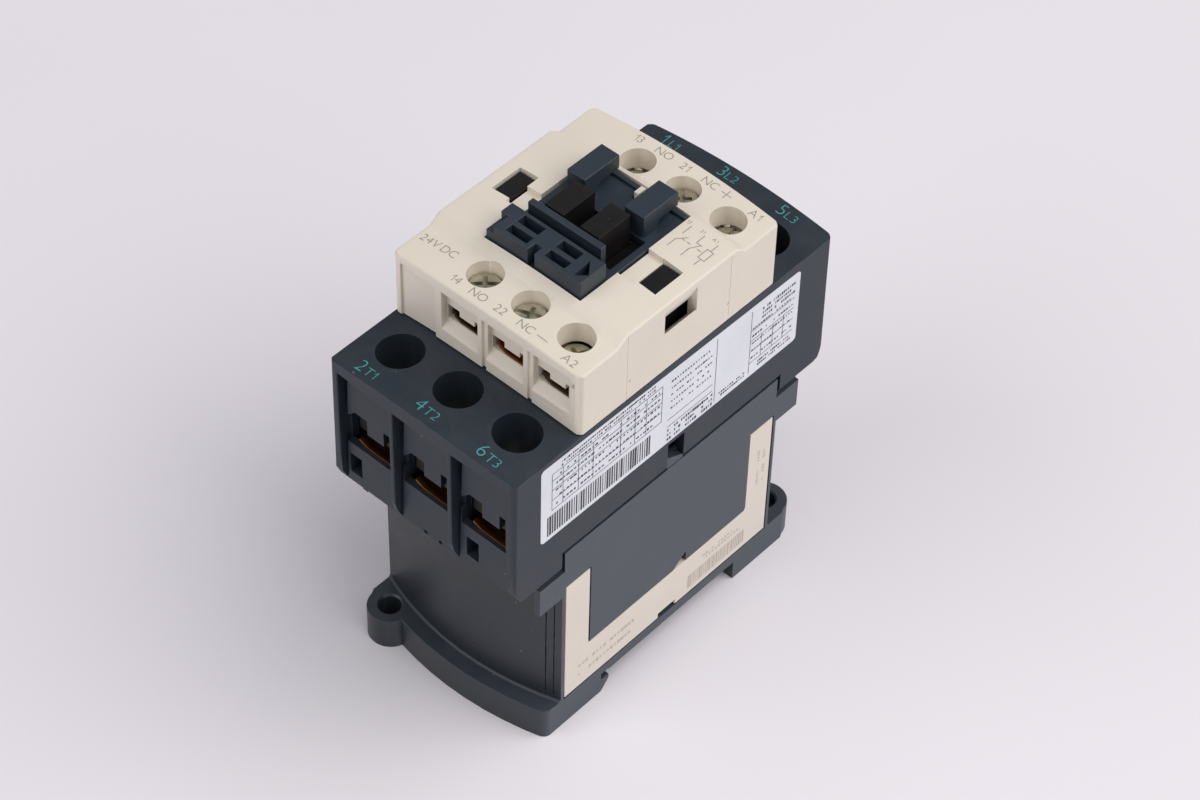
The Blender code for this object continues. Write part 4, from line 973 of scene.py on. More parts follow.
def hook_shape(span):
    """A hook of the clip frame: a foot with round front corners under a top that reaches back."""
    left, right = span
    top = box(span, (HOOK_FRONT, HOOK_REAR), (HOOK_UNDER, HOOK_TOP))
    item = new_object("hook", mesh_of("hook", [top]))
    soften(item, 0.22, 3)
    turns = [math.pi * step / (2 * FOOT_STEPS) for step in range(FOOT_STEPS + 1)]
    bends = [(math.sin(turn) * FOOT_ROUND, math.cos(turn) * FOOT_ROUND) for turn in turns]
    front = HOOK_FRONT + FOOT_ROUND
    foot = [(left, HOOK_FOOT)]
    foot += [(left + FOOT_ROUND - across, front - along) for along, across in bends]
    foot += [(right - FOOT_ROUND + along, front - across) for along, across in bends]
    foot.append((right, HOOK_FOOT))
    add(item, prism(foot, "z", FRAME_TOP - 0.6, HOOK_UNDER + 0.4))
    gusset = [(HOOK_FOOT - 0.3, HOOK_UNDER - 1.3), (HOOK_FOOT, HOOK_UNDER - 1.0)]
    gusset += [(HOOK_FOOT + 1.0, HOOK_UNDER), (HOOK_FOOT + 1.0, HOOK_UNDER + 0.4)]
    gusset.append((HOOK_FOOT - 0.3, HOOK_UNDER + 0.4))
    add(item, prism(gusset, "x", left + 0.15, right - 0.15))
    verts = [tuple(vert.co / MM) for vert in item.data.vertices]
    faces = [list(face.vertices) for face in item.data.polygons]
    bpy.data.objects.remove(item, do_unlink=True)
    return verts, faces


def clip_frame_piece():
    """Blue clip frame: rounded all over, with a raised rear rim and a sharp pit in its bracket."""
    item = cad_copy("clip_frame", "accessory_frame")
    rear = (HOOK_FRONT - 0.2, FRAME_HALF_Y + 1)
    cut(item, box(both(FRAME_HALF_X + 1), rear, (FRAME_TOP, HOOK_TOP + 1)))
    add(item, prism(PIT_FILLED, "z", 96.5, BRACKET_TOP))
    for span in ((-FRAME_HALF_X, REAR_NOTCH[0]), (REAR_NOTCH[1], FRAME_HALF_X)):
        add(item, box(span, (FRAME_HALF_Y - 1.0, FRAME_HALF_Y), (FRAME_TOP - 0.8, RIM_TOP)))
    soften(item, 0.2, 3, **BRACKET_LINES)
    for span in HOOK_SPANS:
        add(item, hook_shape(span))
    cut(item, prism(PIT, "z", 97.0, BRACKET_TOP + 2))
    finish_piece(item, FRAME_BLUE, "housing", "accessory_frame", slot="frame")


def shade_sheet_piece():
    """Painted shade: a thin near-black sheet round the carrier's two bars, under the rim of the
    clip frame, standing for shadow.
    """
    item = new_object("frame_well", mesh_of("frame_well", [box(*SHADE_SHEET)]))
    spans = [sorted(side * x for x in SHADE_SHEET_OPENING_X) for side in WAYS]
    cut(item, *[box(span, SHADE_SHEET_OPENING_Y, (92.0, 95.0)) for span in spans])
    soften(item, 0.06, x=spans[0] + spans[1], y=SHADE_SHEET_OPENING_Y)
    finish_piece(item, SHADOW_BLACK, "housing", slot="bobbin")


def carrier_piece():
    """Moving carrier, with the tops of its two arms near the face of the cover."""
    item = cad_copy("carrier_moulding", "contact_carrier")
    add(item, *[box([side * x for x in ARM_X], ARM_Y, (93.0, ARM_TOP)) for side in WAYS])
    soften(item, 0.2)
    finish_piece(item, CARRIER, "carrier", "contact_carrier", slot="carrier")


def plain_dress(name, node, material, body, slot, width, **planes):
    """A CAD shape with rounded edges and a full finish."""
    item = cad_copy(name, node)
    soften(item, width, **planes)
    finish_piece(item, material, body, node, slot=slot)


# Shapes grown by Geometry Nodes, with sizes in millimetres

ORIGIN = (0.0, 0.0, 0.0)


def shape_tree(name, inputs):
    """A geometry tree with named inputs; gives its sheet, the inputs and the output socket."""
    kinds = {float: "NodeSocketFloat", int: "NodeSocketInt", tuple: "NodeSocketVector"}
    tree = bpy.data.node_groups.new(name, "GeometryNodeTree")
    for label, value in inputs + [("Place", ORIGIN)]:
        socket = tree.interface.new_socket(label, in_out="INPUT", socket_type=kinds[type(value)])
        socket.default_value = value
    tree.interface.new_socket("Material", in_out="INPUT", socket_type="NodeSocketMaterial")
    tree.interface.new_socket("Geometry", in_out="OUTPUT", socket_type="NodeSocketGeometry")
    sheet = Sheet(tree)
    made = sheet.node("NodeGroupOutput").inputs["Geometry"]
    return sheet, sheet.node("NodeGroupInput").outputs, made


def close_tree(sheet, given, made, geometry):
    """Put the shape in its place, make instances real and give the material."""
    moved = sheet.grow("GeometryNodeTransform", Geometry=geometry, Translation=given["Place"])[0]
    real = sheet.grow("GeometryNodeRealizeInstances", Geometry=moved)[0]
    scaled = sheet.grow("GeometryNodeTransform", Geometry=real, Scale=(MM, MM, MM))[0]
    painted = sheet.grow("GeometryNodeSetMaterial", Geometry=scaled, Material=given["Material"])
    sheet.feed(made, painted[0])
    return sheet.tree


def grown(name, tree, material, **values):
    """The mesh of one tree with its own values."""
    item = new_object(name, bpy.data.meshes.new(name))
    step = item.modifiers.new("grow", "NODES")
    step.node_group = tree
    values["Material"] = material
    for socket in tree.interface.items_tree:
        if socket.in_out == "INPUT":
            label = socket.name.replace(" ", "_")
            step[socket.identifier] = values.get(label, socket.default_value)
    settle(item)
    return item


def raised(sheet, geometry, selection, height, scale):
    """Pull chosen faces up by a height and scale them; gives the mesh and the new top."""
    pulled = sheet.grow(
        "GeometryNodeExtrudeMesh", Mesh=geometry, Selection=selection, Offset_Scale=height)
    shrunk = sheet.grow(
        "GeometryNodeScaleElements", Geometry=pulled["Mesh"], Scale=scale, Selection=pulled["Top"])
    return shrunk[0], pulled["Top"]


def ring(sheet, resolution, radius):
    """A round curve about Z."""
    return sheet.grow("GeometryNodeCurvePrimitiveCircle", Resolution=resolution, Radius=radius)[0]


def helix(sheet, resolution, radius, height, turns):
    """A curve that climbs about Z."""
    return sheet.grow(
        "GeometryNodeCurveSpiral", Resolution=resolution, Start_Radius=radius, End_Radius=radius,
        Height=height, Rotations=turns)[0]


def tube(sheet, path, profile, caps):
    """A profile swept along a path."""
    return sheet.grow(
        "GeometryNodeCurveToMesh", Curve=path, Profile_Curve=profile, Fill_Caps=caps)[0]


def screw_tree():
    """Terminal screw: domed head with a cross and slot recess, and a threaded shank below it."""
    sheet, given, made = shape_tree("terminal_screw", [
        ("Head Radius", 3.0), ("Head Height", 2.6), ("Shank Radius", 1.6), ("Shank Length", 7.0),
        ("Thread Pitch", 0.7), ("Slot Width", 0.9), ("Turn", 0.0)])
    wide, height, length = given["Head Radius"], given["Head Height"], given["Shank Length"]
    body = sheet.grow(
        "GeometryNodeMeshCylinder", Vertices=40, Radius=wide, Depth=sheet.times(height, 0.7))
    head, top = sheet.lifted(body["Mesh"], sheet.times(height, 0.35)), body["Top"]
    for rise, scale in ((0.17, 0.95), (0.09, 0.84), (0.04, 0.6)):
        head, top = raised(sheet, head, top, sheet.times(height, rise), scale)
    blades = []
    for reach, depth in ((2.4, 0.8), (1.15, 1.3)):
        size = sheet.vector(
            X=sheet.times(wide, reach), Y=given["Slot Width"], Z=sheet.times(height, depth))
        blades.append(sheet.grow("GeometryNodeMeshCube", Size=size)[0])
    spots = sheet.grow("GeometryNodeMeshLine", Count=2, Offset=ORIGIN)[0]
    wings = sheet.grow("GeometryNodeInstanceOnPoints", Points=spots, Instance=blades[1])[0]
    quarter = sheet.times(sheet.grow("GeometryNodeInputIndex")[0], math.pi / 2)
    crossed = sheet.grow(
        "GeometryNodeRotateInstances", Instances=wings, Rotation=sheet.vector(Z=quarter))[0]
    crossed = sheet.grow("GeometryNodeRealizeInstances", Geometry=crossed)[0]
    tools = sheet.lifted(sheet.joined(blades[0], crossed), sheet.times(height, 1.08))
    recessed = sheet.grow(
        "GeometryNodeMeshBoolean", {"solver": "EXACT", "operation": "DIFFERENCE"},
        Self_Intersection=True, Mesh_1=head, Mesh_2=tools)["Mesh"]
    core = sheet.times(given["Shank Radius"], 0.84)
    shank = sheet.grow("GeometryNodeMeshCylinder", Vertices=24, Radius=core, Depth=length)["Mesh"]
    shank = sheet.lifted(shank, sheet.times(length, -0.48))
    run = sheet.times(length, 0.86)
    path = helix(sheet, 18, core, run, sheet.math("DIVIDE", run, given["Thread Pitch"]))
    thread = tube(sheet, path, ring(sheet, 4, sheet.times(given["Shank Radius"], 0.16)), True)
    thread = sheet.lifted(thread, sheet.times(length, -0.93))
    whole = sheet.joined(recessed, shank, thread)
    turn = sheet.vector(Z=given["Turn"])
    spun = sheet.grow("GeometryNodeTransform", Geometry=whole, Rotation=turn)[0]
    return close_tree(sheet, given, made, spun)


def spring_tree():
    """Coil spring wound about Z, from its foot upwards, with flat end turns."""
    sheet, given, made = shape_tree("wound_spring", [
        ("Turns", 5.0), ("Radius", 2.6), ("Height", 11.0), ("Wire Radius", 0.4)])
    radius, height = given["Radius"], given["Height"]
    coil = helix(sheet, 24, radius, height, given["Turns"])
    ends = [sheet.lifted(ring(sheet, 24, radius), level) for level in (0.0, height)]
    wire = ring(sheet, 8, given["Wire Radius"])
    return close_tree(sheet, given, made, tube(sheet, sheet.joined(coil, *ends), wire, True))


def winding_tree():
    """Layer of wire turns laid side by side around the bobbin."""
    sheet, given, made = shape_tree("coil_turns", [
        ("Width", 30.0), ("Depth", 34.0), ("Corner", 3.0), ("Wire Radius", 0.3), ("Turns", 24)])
    loop = sheet.grow(
        "GeometryNodeCurvePrimitiveQuadrilateral", Width=given["Width"], Height=given["Depth"])[0]
    soft = sheet.grow(
        "GeometryNodeFilletCurve", {"mode": "POLY"}, Curve=loop, Count=5, Radius=given["Corner"])[0]
    pitch = sheet.vector(Z=sheet.times(given["Wire Radius"], 2.0))
    rows = sheet.grow("GeometryNodeMeshLine", Count=given["Turns"], Offset=pitch)[0]
    laid = sheet.grow("GeometryNodeInstanceOnPoints", Points=rows, Instance=soft)[0]
    real = sheet.grow("GeometryNodeRealizeInstances", Geometry=laid)[0]
    wire = ring(sheet, 8, given["Wire Radius"])
    return close_tree(sheet, given, made, tube(sheet, real, wire, False))


SCREW = screw_tree()
SPRING = spring_tree()
WINDING = winding_tree()

# Sizes of screws and springs
POWER_SCREW = {
    "Head_Radius": 3.9, "Head_Height": 3.0, "Shank_Radius": 1.9, "Shank_Length": 9.4,
    "Thread_Pitch": 0.9, "Slot_Width": 1.1}
SMALL_SCREW = {
    "Head_Radius": 3.1, "Head_Height": 2.6, "Shank_Radius": 1.6, "Shank_Length": 7.0,
    "Thread_Pitch": 0.7, "Slot_Width": 0.85}
POWER_SCREW_Z = 63.6
SMALL_DOWN_Z = 86.8
SMALL_OUT_Z = 89.2
HEAD_SHARP = 35
WIRE_SHARP = 60
RETURN_WIRE = 0.45
RETURN_FOOT = 36.45
CONTACT_WIRE = 0.4
CONTACT_FOOT = 65.1


def threaded_screw(node, sizes, turn, place):
    """One screw on its own body."""
    item = grown(node + "_threaded", SCREW, STEEL, Turn=turn, Place=place, **sizes)
    smooth(item, HEAD_SHARP)
    hand_over(item, STEEL, node, node, slot="steel")


def terminal_screws():
    """All twelve screws, each turned by its own angle."""
    for end, row in ROWS:
        for index, x in enumerate(POLE_X):
            turn = 0.5 + 0.9 * index + end
            place = (x, end * POWER_Y, POWER_SCREW_Z)
            threaded_screw(f"{row}_screw_{index + 1}", POWER_SCREW, turn, place)
        for name, x in zip(SMALL_NAMES[end], SMALL_X):
            level = SMALL_OUT_Z if name in BACKED_OUT else SMALL_DOWN_Z
            place = (x, end * SMALL_Y, level)
            threaded_screw(f"small_screw_{name}", SMALL_SCREW, SMALL_TURNS[name], place)


def wound_pieces():
    """Return springs, contact springs and the coil's wire."""
    for name, x in (("left", -13.0), ("right", 13.0)):
        node = f"return_spring_{name}"
        item = grown(
            node + "_wire", SPRING, STEEL, Turns=5.0, Radius=2.6 - RETURN_WIRE,
            Height=11.7 - 2 * RETURN_WIRE, Wire_Radius=RETURN_WIRE, Place=(x, 0.0, RETURN_FOOT))
        smooth(item, WIRE_SHARP)
        hand_over(item, STEEL, "housing", node, slot="steel")
        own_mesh(item)
    for index, x in enumerate(POLE_X):
        node = f"contact_spring_{index + 1}"
        item = grown(
            node + "_wire", SPRING, STEEL, Turns=4.0, Radius=3.2 - CONTACT_WIRE,
            Height=8.0 - 2 * CONTACT_WIRE, Wire_Radius=CONTACT_WIRE, Place=(x, 0.0, CONTACT_FOOT))
        smooth(item, WIRE_SHARP)
        hand_over(item, STEEL, "carrier", node, slot="steel")
        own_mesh(item)
    item = grown("coil_wire", WINDING, ENAMEL, Width=29.8, Depth=34.6, Corner=3.0,
                 Wire_Radius=0.29, Turns=24, Place=(0.0, 0.0, 20.3))
    smooth(item, WIRE_SHARP)
    hand_over(item, ENAMEL, "housing", "coil_winding", slot="winding")


# Lips of the terminal bars: a foot behind the wire window and a profile across it
POWER_LIP = {
    "foot": ((-4.0, 4.3), (39.34, 39.64), (56.6, 57.7)), "depth": (39.36, 40.5), "round": 0.12,
    "profile": ((4.5, 57.55), (-2.2, 57.55), (-3.7, 58.35), (-3.8, 58.9),
                (-2.8, 58.45), (-1.5, 57.98), (1.0, 57.9), (4.5, 57.85))}
SMALL_LIP = {
    "foot": ((-2.4, 2.9), (23.45, 23.85), (83.2, 84.9)), "depth": (23.5, 24.9), "round": 0.1,
    "profile": ((3.0, 84.55), (-1.2, 84.6), (-2.6, 85.2), (-3.4, 86.2),
                (-2.9, 86.5), (-2.2, 85.7), (-1.0, 85.2), (3.0, 85.0))}


def lipped_bar(name, node, x, end, lip, finish, slot):
    """A terminal bar with a lip that lies in its wire window and curls up at the left."""
    item = cad_copy(name, node)
    across, along, levels = lip["foot"]
    add(item, box([x + u for u in across], [end * v for v in along], levels))
    profile = [(x + u, z) for u, z in lip["profile"]]
    add(item, prism(profile, "y", *sorted(end * v for v in lip["depth"])))
    soften(item, lip["round"])
    finish_piece(item, finish, "housing", node, slot=slot)


def terminal_bars():
    """Bars of the six power terminals and the six small ones."""
    for end, row in ROWS:
        for pole, x in enumerate(POLE_X, 1):
            node = f"{row}_terminal_{pole}"
            lipped_bar(f"{row}_bar_{pole}", node, x, end, POWER_LIP, COPPER, "copper")
    for end in WAYS:
        for name, x in zip(SMALL_NAMES[end], SMALL_X):
            node = f"coil_terminal_{name}" if name.startswith("a") else f"contact_{name}"
            finish = RED_COPPER if name == "22" else BRONZE
            lipped_bar(node + "_bar", node, x, end, SMALL_LIP, finish, "brass")


def beside_axis(node):
    """X and Y, in millimetres, just beside a screw's axis, where no corner of its hole lies."""
    low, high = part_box(node)
    return [(low[index] + high[index]) / 2 / MM + 0.13 for index in (0, 1)]


def dressed_metal():
    """Clamps, bridges, core and the smaller mouldings, with rounded edges."""
    pairs = [(f"{row}_clamp_{pole}", f"{row}_screw_{pole}", 0.3)
             for row in ("load", "line") for pole in ("1", "2", "3")]
    pairs += [(f"small_clamp_{name}", f"small_screw_{name}", 0.2)
              for name in ("13", "14", "21", "22", "a1", "a2")]
    for clamp, screw, width in pairs:
        x, y = beside_axis(screw)
        plain_dress(clamp + "_plate", clamp, SHADED_CLAMP, clamp, "steel", width, x=[x], y=[y])
    for pole in ("1", "2", "3"):
        bridge = f"main_bridge_{pole}"
        plain_dress(bridge + "_strip", bridge, COPPER, bridge, "copper", 0.15)
    for bridge in ("make_bridge", "break_bridge"):
        plain_dress(bridge + "_strip", bridge, BRASS, bridge, "brass", 0.12)
    plain_dress("fixed_core_stack", "fixed_core", SHEETS, "housing", "laminated", 0.15)
    plain_dress("armature_stack", "armature", SHEETS, "carrier", "laminated", 0.15)
    plain_dress("armature_pin_rod", "armature_pin", STEEL, "carrier", "steel", 0.1)
    plain_dress("bobbin_moulding", "coil_bobbin", BLACK, "housing", "bobbin", 0.25)
    plain_dress("rail_catch", "rail_clip", BLACK, "rail_clip", "bobbin", 0.3)


# Print: marks on the front, the side label and the faint print of the module

INK_LIFT = 0.03
LABEL_BACK = 0.05
LABEL_FACE = 0.06
RULE_LIFT = 0.085
PRINT_LIFT = 0.08
LETTER_GAP = 0.17
MARK_LINE = 0.17
RULE_LINE = 0.13
SMALL_MARK = 1.75
CORNER_STEPS = 6
LABEL_CORNER = 0.9
LABEL_LOW = 57.8
LABEL_CORNERS = ((-36.0, LABEL_LOW), (33.6, LABEL_LOW), (33.6, 75.9), (-36.0, 77.0))

# Strokes of the signs and the small diagram, from one end to the other
SIGNS = (
    (10.6, -24.3, 12.9, -24.3), (10.3, 24.4, 12.4, 24.4), (11.35, 23.35, 11.35, 25.45))
DIAGRAM = (
    (13.2, 6.2, 13.2, 8.4), (13.2, 8.4, 14.6, 10.2), (13.2, 10.4, 13.2, 12.6),
    (16.4, 6.2, 16.4, 8.4), (16.4, 8.4, 17.4, 10.4), (16.4, 10.4, 16.4, 12.6),
    (16.4, 10.4, 17.6, 10.4), (13.9, 9.3, 14.6, 9.3), (15.2, 9.3, 15.9, 9.3),
    (18.8, 8.0, 20.2, 8.0), (18.8, 10.6, 20.2, 10.6), (18.8, 8.0, 18.8, 10.6),
    (20.2, 8.0, 20.2, 10.6), (19.5, 10.6, 19.5, 12.6), (19.5, 6.2, 19.5, 8.0),
    (17.6, 9.3, 18.3, 9.3))


def written(text, height, thin):
    """Outline of a word as flat points and faces, with its capitals at a height; also its width."""
    curve = bpy.data.curves.new("writing", "FONT")
    curve.body = text
    curve.offset = thin
    item = new_object("writing", curve)
    ready = item.evaluated_get(bpy.context.evaluated_depsgraph_get())
    mesh = bpy.data.meshes.new_from_object(ready)
    bpy.data.objects.remove(item, do_unlink=True)
    points = [vert.co.xy for vert in mesh.vertices]
    left, low = min(p.x for p in points), min(p.y for p in points)
    scale = height / (max(p.y for p in points) - low)
    flat = [((p.x - left) * scale, (p.y - low) * scale) for p in points]
    faces = [list(face.vertices) for face in mesh.polygons]
    return flat, faces, max(u for u, v in flat)


def stroke(start, end, width):
    """A straight printed line as a flat strip."""
    along = (Vector(end) - Vector(start)).normalized() * width / 2
    side = Vector((-along.y, along.x))
    start, end = Vector(start) - along, Vector(end) + along
    corners = [start - side, end - side, end + side, start + side]
    return [(p.x, p.y) for p in corners], [[0, 1, 2, 3]]


def printed(name, shapes, place, ink, slot):
    """Flat shapes put on a surface by a rule, as one printed piece of the housing."""
    verts, faces = [], []
    for flat, polygons in shapes:
        first = len(verts)
        verts += [[value * MM for value in place(u, v)] for u, v in flat]
        faces += [[first + index for index in polygon] for polygon in polygons]
    mesh = bpy.data.meshes.new(name)
    mesh.from_pydata(verts, [], faces)
    hand_over(new_object(name, mesh), ink, "housing", slot=slot)


def figure_one(height):
    """The figure one, drawn with a flag at its head."""
    wide, stem = 0.08 * height, 0.3 * height
    head = (stem, height - wide / 2)
    upright, faces = stroke((stem, wide / 2), head, wide)
    flag, more = stroke((0.06 * height, 0.7 * height), head, wide)
    more = [[index + len(upright) for index in face] for face in more]
    return upright + flag, faces + more, 0.35 * height


def centred_mark(parts, x, y, gap=0.55, thin=-0.012):
    """Words of several heights on one base line, centred on a place."""
    left, tallest = 0.0, max(height for text, height in parts)
    shapes = []
    for text, height in parts:
        for letter in text:
            one = letter == "1"
            flat, faces, width = figure_one(height) if one else written(letter, height, thin)
            shapes.append(([(left + u, v) for u, v in flat], faces))
            left += width + LETTER_GAP * height
        left += gap - LETTER_GAP * height
    shift = x - (left - gap) / 2
    return [([(u + shift, y - tallest / 2 + v) for u, v in flat], faces) for flat, faces in shapes]


def on_block(u, v):
    return u, v, BLOCK_TOP - arch(u) + INK_LIFT


def on_cover(u, v):
    return u, v, cover_crown(v) - arch(u) + INK_LIFT


def on_side(u, v):
    return HALF + RULE_LIFT, u, v


def front_marks():
    """Pole numbers on the block and terminal numbers, signs and a small diagram on the cover."""
    poles = []
    for x, y, digit, rest in (
            (-15.2, -40.1, "2", "T1"), (-0.5, -40.0, "4", "T2"), (14.5, -40.2, "6", "T3"),
            (-15.4, 40.7, "1", "L1"), (-1.3, 40.9, "3", "L2"), (13.2, 40.8, "5", "L3")):
        gap = 1.1 if digit == "1" else 0.55
        poles += centred_mark([(digit, 2.7), (rest, 1.9)], x, y, gap, -0.018)
    printed("pole_marks", poles, on_block, TEAL_INK, "housing")
    grey = centred_mark([("24V", SMALL_MARK), ("DC", SMALL_MARK)], -17.1, -19.9, 0.7)
    for text, x, y in (
            ("14", -8.8, -24.2), ("NO", -3.2, -24.4), ("22", 2.0, -24.4), ("NC", 7.9, -24.3),
            ("A2", 18.4, -24.6), ("13", -9.7, 24.6), ("NO", -3.6, 24.6), ("21", 1.5, 24.5),
            ("NC", 7.5, 24.5), ("A1", 18.2, 24.4)):
        grey += centred_mark([(text, SMALL_MARK)], x, y)
    grey += [stroke(line[:2], line[2:], MARK_LINE) for line in SIGNS + DIAGRAM]
    for text, x in (("13", 12.2), ("21", 15.5), ("A1", 18.4)):
        grey += centred_mark([(text, 0.8)], x, 13.2)
    printed("terminal_marks", grey, on_cover, GREY_INK, "cream")


def flat_tree(name, inputs, cells):
    """A tree that lays small upright plates on the side face, from a rule for its cells."""
    sheet, given, made = shape_tree(name, inputs)
    real = sheet.grow("GeometryNodeRealizeInstances", Geometry=cells(sheet, given))[0]
    upright = (math.pi / 2, 0, math.pi / 2)
    stood = sheet.grow("GeometryNodeTransform", Geometry=real, Rotation=upright)[0]
    return close_tree(sheet, given, made, stood)


def random_between(sheet, low, high, seed):
    links = {"Seed": seed, 2: low, 3: high}
    return sheet.node("FunctionNodeRandomValue", links, data_type="FLOAT").outputs[1]


def plates(sheet, given, points, width, tall=1.0, kept=True):
    """Flat plates on points, each with its own width and share of the height."""
    plate = sheet.grow(
        "GeometryNodeMeshGrid", Size_X=1.0, Size_Y=given["Height"], Vertices_X=2, Vertices_Y=2)[0]
    return sheet.grow(
        "GeometryNodeInstanceOnPoints", Points=points, Instance=plate, Selection=kept,
        Scale=sheet.vector(X=width, Y=tall, Z=1.0))[0]


def bar_cells(sheet, given):
    """Bars of random width side by side."""
    count = given["Count"]
    step = sheet.math("DIVIDE", given["Length"], count)
    spots = sheet.grow("GeometryNodeMeshLine", Count=count, Offset=sheet.vector(X=step))[0]
    width = sheet.times(step, random_between(sheet, 0.22, 0.86, given["Seed"]))
    return plates(sheet, given, spots, width)


def dash_cells(sheet, given):
    """Rows of short dashes with gaps, like lines of very small print."""
    seed = given["Seed"]
    spots = sheet.grow(
        "GeometryNodeMeshGrid", Size_X=given["Length"], Size_Y=given["Depth"],
        Vertices_X=given["Columns"], Vertices_Y=given["Rows"])[0]
    step = sheet.math("DIVIDE", given["Length"], given["Columns"])
    width = sheet.times(step, random_between(sheet, 0.3, 0.95, seed))
    tall = random_between(sheet, 0.6, 1.0, sheet.plus(seed, 3.0))
    chance = random_between(sheet, 0.0, 1.0, sheet.plus(seed, 7.0))
    return plates(sheet, given, spots, width, tall, sheet.math("GREATER_THAN", chance, 0.16))


BARS = flat_tree("bar_strip", [
    ("Length", 20.0), ("Height", 5.0), ("Count", 40), ("Seed", 1)], bar_cells)
DASHES = flat_tree("dash_rows", [
    ("Length", 20.0), ("Depth", 4.0), ("Height", 0.5), ("Columns", 30), ("Rows", 4), ("Seed", 1)],
    dash_cells)


def side_print(name, tree, ink, place, **values):
    """One strip of bars, from its left end, or block of dashes, round its middle."""
    hand_over(grown(name, tree, ink, Place=place, **values), ink, "housing", slot="cream")


def dash_blocks(prefix, ink, x, blocks):
    """Blocks of dashes: name, middle, length, depth, dash height, columns, rows and seed."""
    for name, y, z, length, depth, height, columns, rows, seed in blocks:
        side_print(prefix + name, DASHES, ink, (x, y, z), Length=length, Depth=depth,
                   Height=height, Columns=columns, Rows=rows, Seed=seed)


def side_label():
    """White label with rounded corners, ruled tables, rows of small print and a strip of bars."""
    outline = []
    for (y, z), turn in zip(LABEL_CORNERS, (180, 270, 0, 90)):
        y += LABEL_CORNER if y < 0 else -LABEL_CORNER
        z += LABEL_CORNER if z == LABEL_LOW else -LABEL_CORNER
        for step in range(CORNER_STEPS + 1):
            angle = math.radians(turn + 90 * step / CORNER_STEPS)
            outline.append((y + LABEL_CORNER * math.cos(angle), z + LABEL_CORNER * math.sin(angle)))
    sheet = prism(outline, "x", HALF - LABEL_BACK, HALF + LABEL_FACE)
    item = new_object("side_label", mesh_of("side_label", [sheet]))
    hand_over(item, LABEL, "housing", slot="cream")
    columns = (-33.2, -30.4, -26.4, -22.6, -15.4, -11.6, -8.6, -4.4)
    lines = [((y, 65.0), (y, 74.3)) for y in columns]
    lines += [((-33.2, z), (-4.4, z)) for z in (65.0, 67.6, 70.2, 72.6, 74.3)]
    lines += [((10.4, 58.8), (10.4, 75.2)), ((20.0, 58.8), (20.0, 75.0))]
    lines += [((20.0, z), (32.2, z)) for z in (61.4, 64.4, 67.2, 69.8)]
    lines += [((y, 61.4), (y, 67.2)) for y in (23.2, 26.4, 29.4)]
    lines += [((-2.6, z), (9.6, z)) for z in (62.2, 64.0)]
    rules = [stroke(a, b, RULE_LINE) for a, b in lines]
    printed("label_rules", rules, on_side, DARK_INK, "cream")
    x = HALF + PRINT_LIFT
    side_print("label_bars", BARS, DARK_INK, (x, -34.2, 61.3),
               Length=27.4, Height=5.0, Count=44, Seed=5)
    dash_blocks("label_print_", DARK_INK, x, (
        ("table", -18.6, 69.6, 26.6, 7.2, 0.55, 30, 5, 2),
        ("title", -18.6, 75.4, 24.0, 0.9, 0.55, 44, 2, 9),
        ("middle", 3.6, 70.2, 10.6, 7.0, 0.5, 16, 5, 4),
        ("footing", 3.6, 60.0, 12.0, 2.4, 0.75, 20, 3, 6),
        ("mark", 15.2, 59.6, 6.8, 0.8, 0.5, 12, 2, 8),
        ("right", 26.2, 66.4, 11.0, 7.6, 0.5, 16, 5, 3),
        ("head", 27.6, 72.6, 8.8, 2.2, 0.7, 16, 3, 12),
        ("base", 27.2, 59.8, 9.0, 0.9, 0.55, 18, 2, 11)))


def module_print():
    """Faint grey bars and dashes on the side module."""
    x = HALF + INK_LIFT
    side_print("module_bars", BARS, PALE_INK, (x, 6.2, 11.0),
               Length=16.6, Height=3.6, Count=30, Seed=21)
    dash_blocks("module_print_", PALE_INK, x, (
        ("code", 15.4, 14.9, 10.0, 1.0, 0.6, 12, 2, 23),
        ("line", -17.4, 12.4, 15.0, 2.6, 0.9, 16, 2, 24),
        ("arm", 26.2, 28.4, 1.6, 9.0, 0.5, 2, 12, 25)))


# Studio: lamps by name, place in metres, size in metres, power and colour
LAMPS = (
    ("right_softbox", (1.0, 0.4, 1.48), 2.0, 32.0, (1.0, 0.99, 0.97)),
    ("left_softbox", (-0.54, -1.26, 1.12), 1.3, 9.2, (0.98, 0.99, 1.0)))
FLOOR_HALF = 4000
FLOOR_Z = (-20.0, -0.02)
SURROUND = 0.42
SENSOR_WIDTH = 36.0
CLIP = (0.01, 20.0)


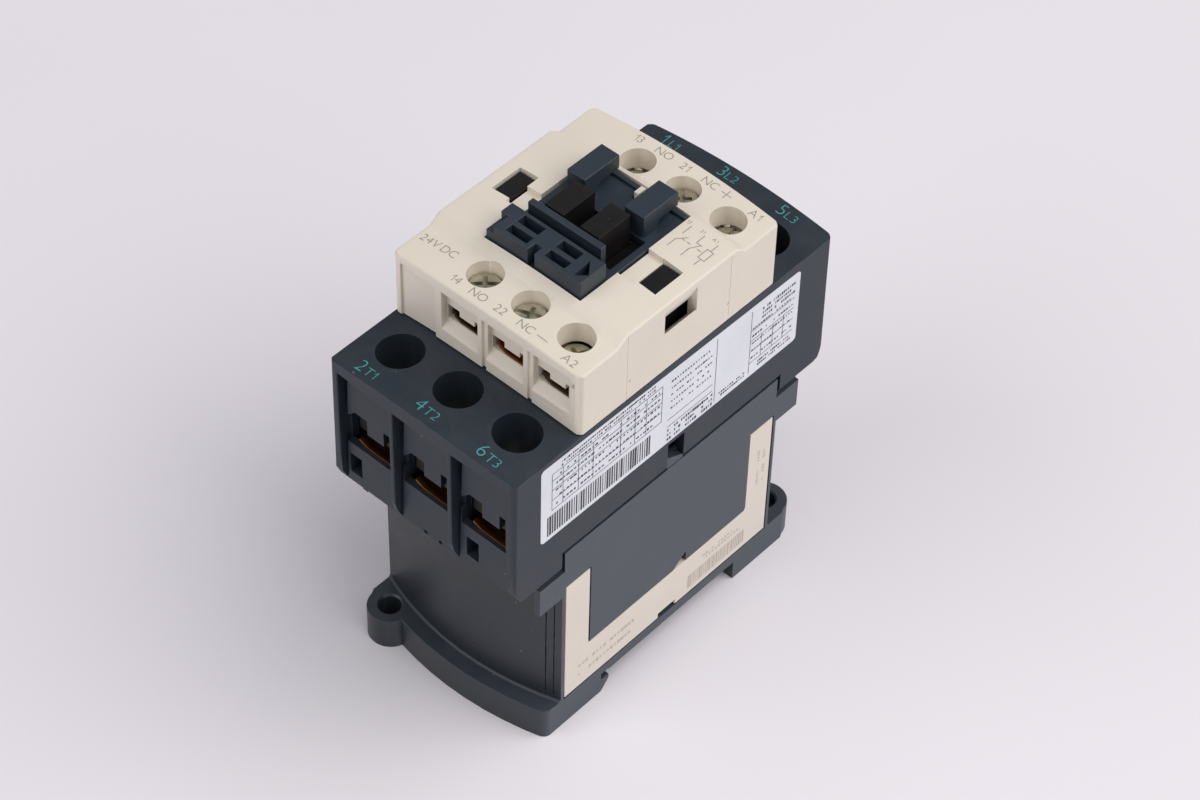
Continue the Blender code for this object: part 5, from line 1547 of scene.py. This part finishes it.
def floor_and_light():
    """Pale floor, soft window-like lamps and an even pale surround."""
    mesh = mesh_of("studio_floor", [box(both(FLOOR_HALF), both(FLOOR_HALF), FLOOR_Z)])
    floor = new_object("studio_floor", mesh)
    material, sheet, shader, where = new_material("floor_paper", 0.7)
    tone = sheet.ramp(sheet.noise(where, 6.0, 2.0, 0.5), 0.3, 0.7)
    colour = sheet.blend(tone, srgb(232, 228, 234), srgb(229, 225, 231))
    sheet.feed(shader.inputs["Base Color"], colour)
    shader.inputs["Specular IOR Level"].default_value = 0.2
    mesh.materials.append(material)
    for settings in LAMPS:
        lamp(*settings)
    world = bpy.data.worlds.new("studio")
    bpy.context.scene.world = world
    world.use_nodes = True
    back = world.node_tree.nodes["Background"]
    back.inputs["Color"].default_value = srgb(222, 220, 226)
    back.inputs["Strength"].default_value = SURROUND


def lamp(name, place, size, power, colour):
    """A square soft lamp that looks at the middle of the part."""
    light = bpy.data.lights.new(name, "AREA")
    light.shape = "SQUARE"
    light.size = size
    light.energy = power
    light.color = colour
    item = new_object(name, light)
    item.location = place
    aim = Vector(VIEW_TARGET) * MM - Vector(place)
    item.rotation_euler = aim.to_track_quat("-Z", "Y").to_euler()


def photo_camera():
    """Camera of the photograph, from its fitted angles and distance."""
    turn, rise, roll = map(math.radians, (VIEW_AZIMUTH, VIEW_ELEVATION, VIEW_ROLL))
    level = Vector((math.cos(turn), math.sin(turn), 0))
    ahead = Vector((math.sin(turn), -math.cos(turn), 0))
    back = ahead * math.cos(rise) + Vector((0, 0, math.sin(rise)))
    upright = back.cross(level)
    right = level * math.cos(roll) + upright * math.sin(roll)
    up = upright * math.cos(roll) - level * math.sin(roll)
    eye = Vector(VIEW_TARGET) + back * VIEW_DISTANCE
    eye -= right * VIEW_OFFSET[0] + up * VIEW_OFFSET[1]
    data = bpy.data.cameras.new("photo_camera")
    data.lens = VIEW_LENS
    data.sensor_width = SENSOR_WIDTH
    data.clip_start, data.clip_end = CLIP
    item = new_object("photo_camera", data)
    axes = Matrix((right, up, back)).transposed().to_4x4()
    item.matrix_world = Matrix.Translation(eye * MM) @ axes
    bpy.context.scene.camera = item


contact_block_piece()
magnet_base_piece()
front_cover_piece()
clip_frame_piece()
side_module_piece()
carrier_piece()
shade_sheet_piece()
terminal_screws()
wound_pieces()
terminal_bars()
dressed_metal()
front_marks()
side_label()
module_print()
floor_and_light()
photo_camera()
bpy.context.scene.view_settings.view_transform = "Standard"
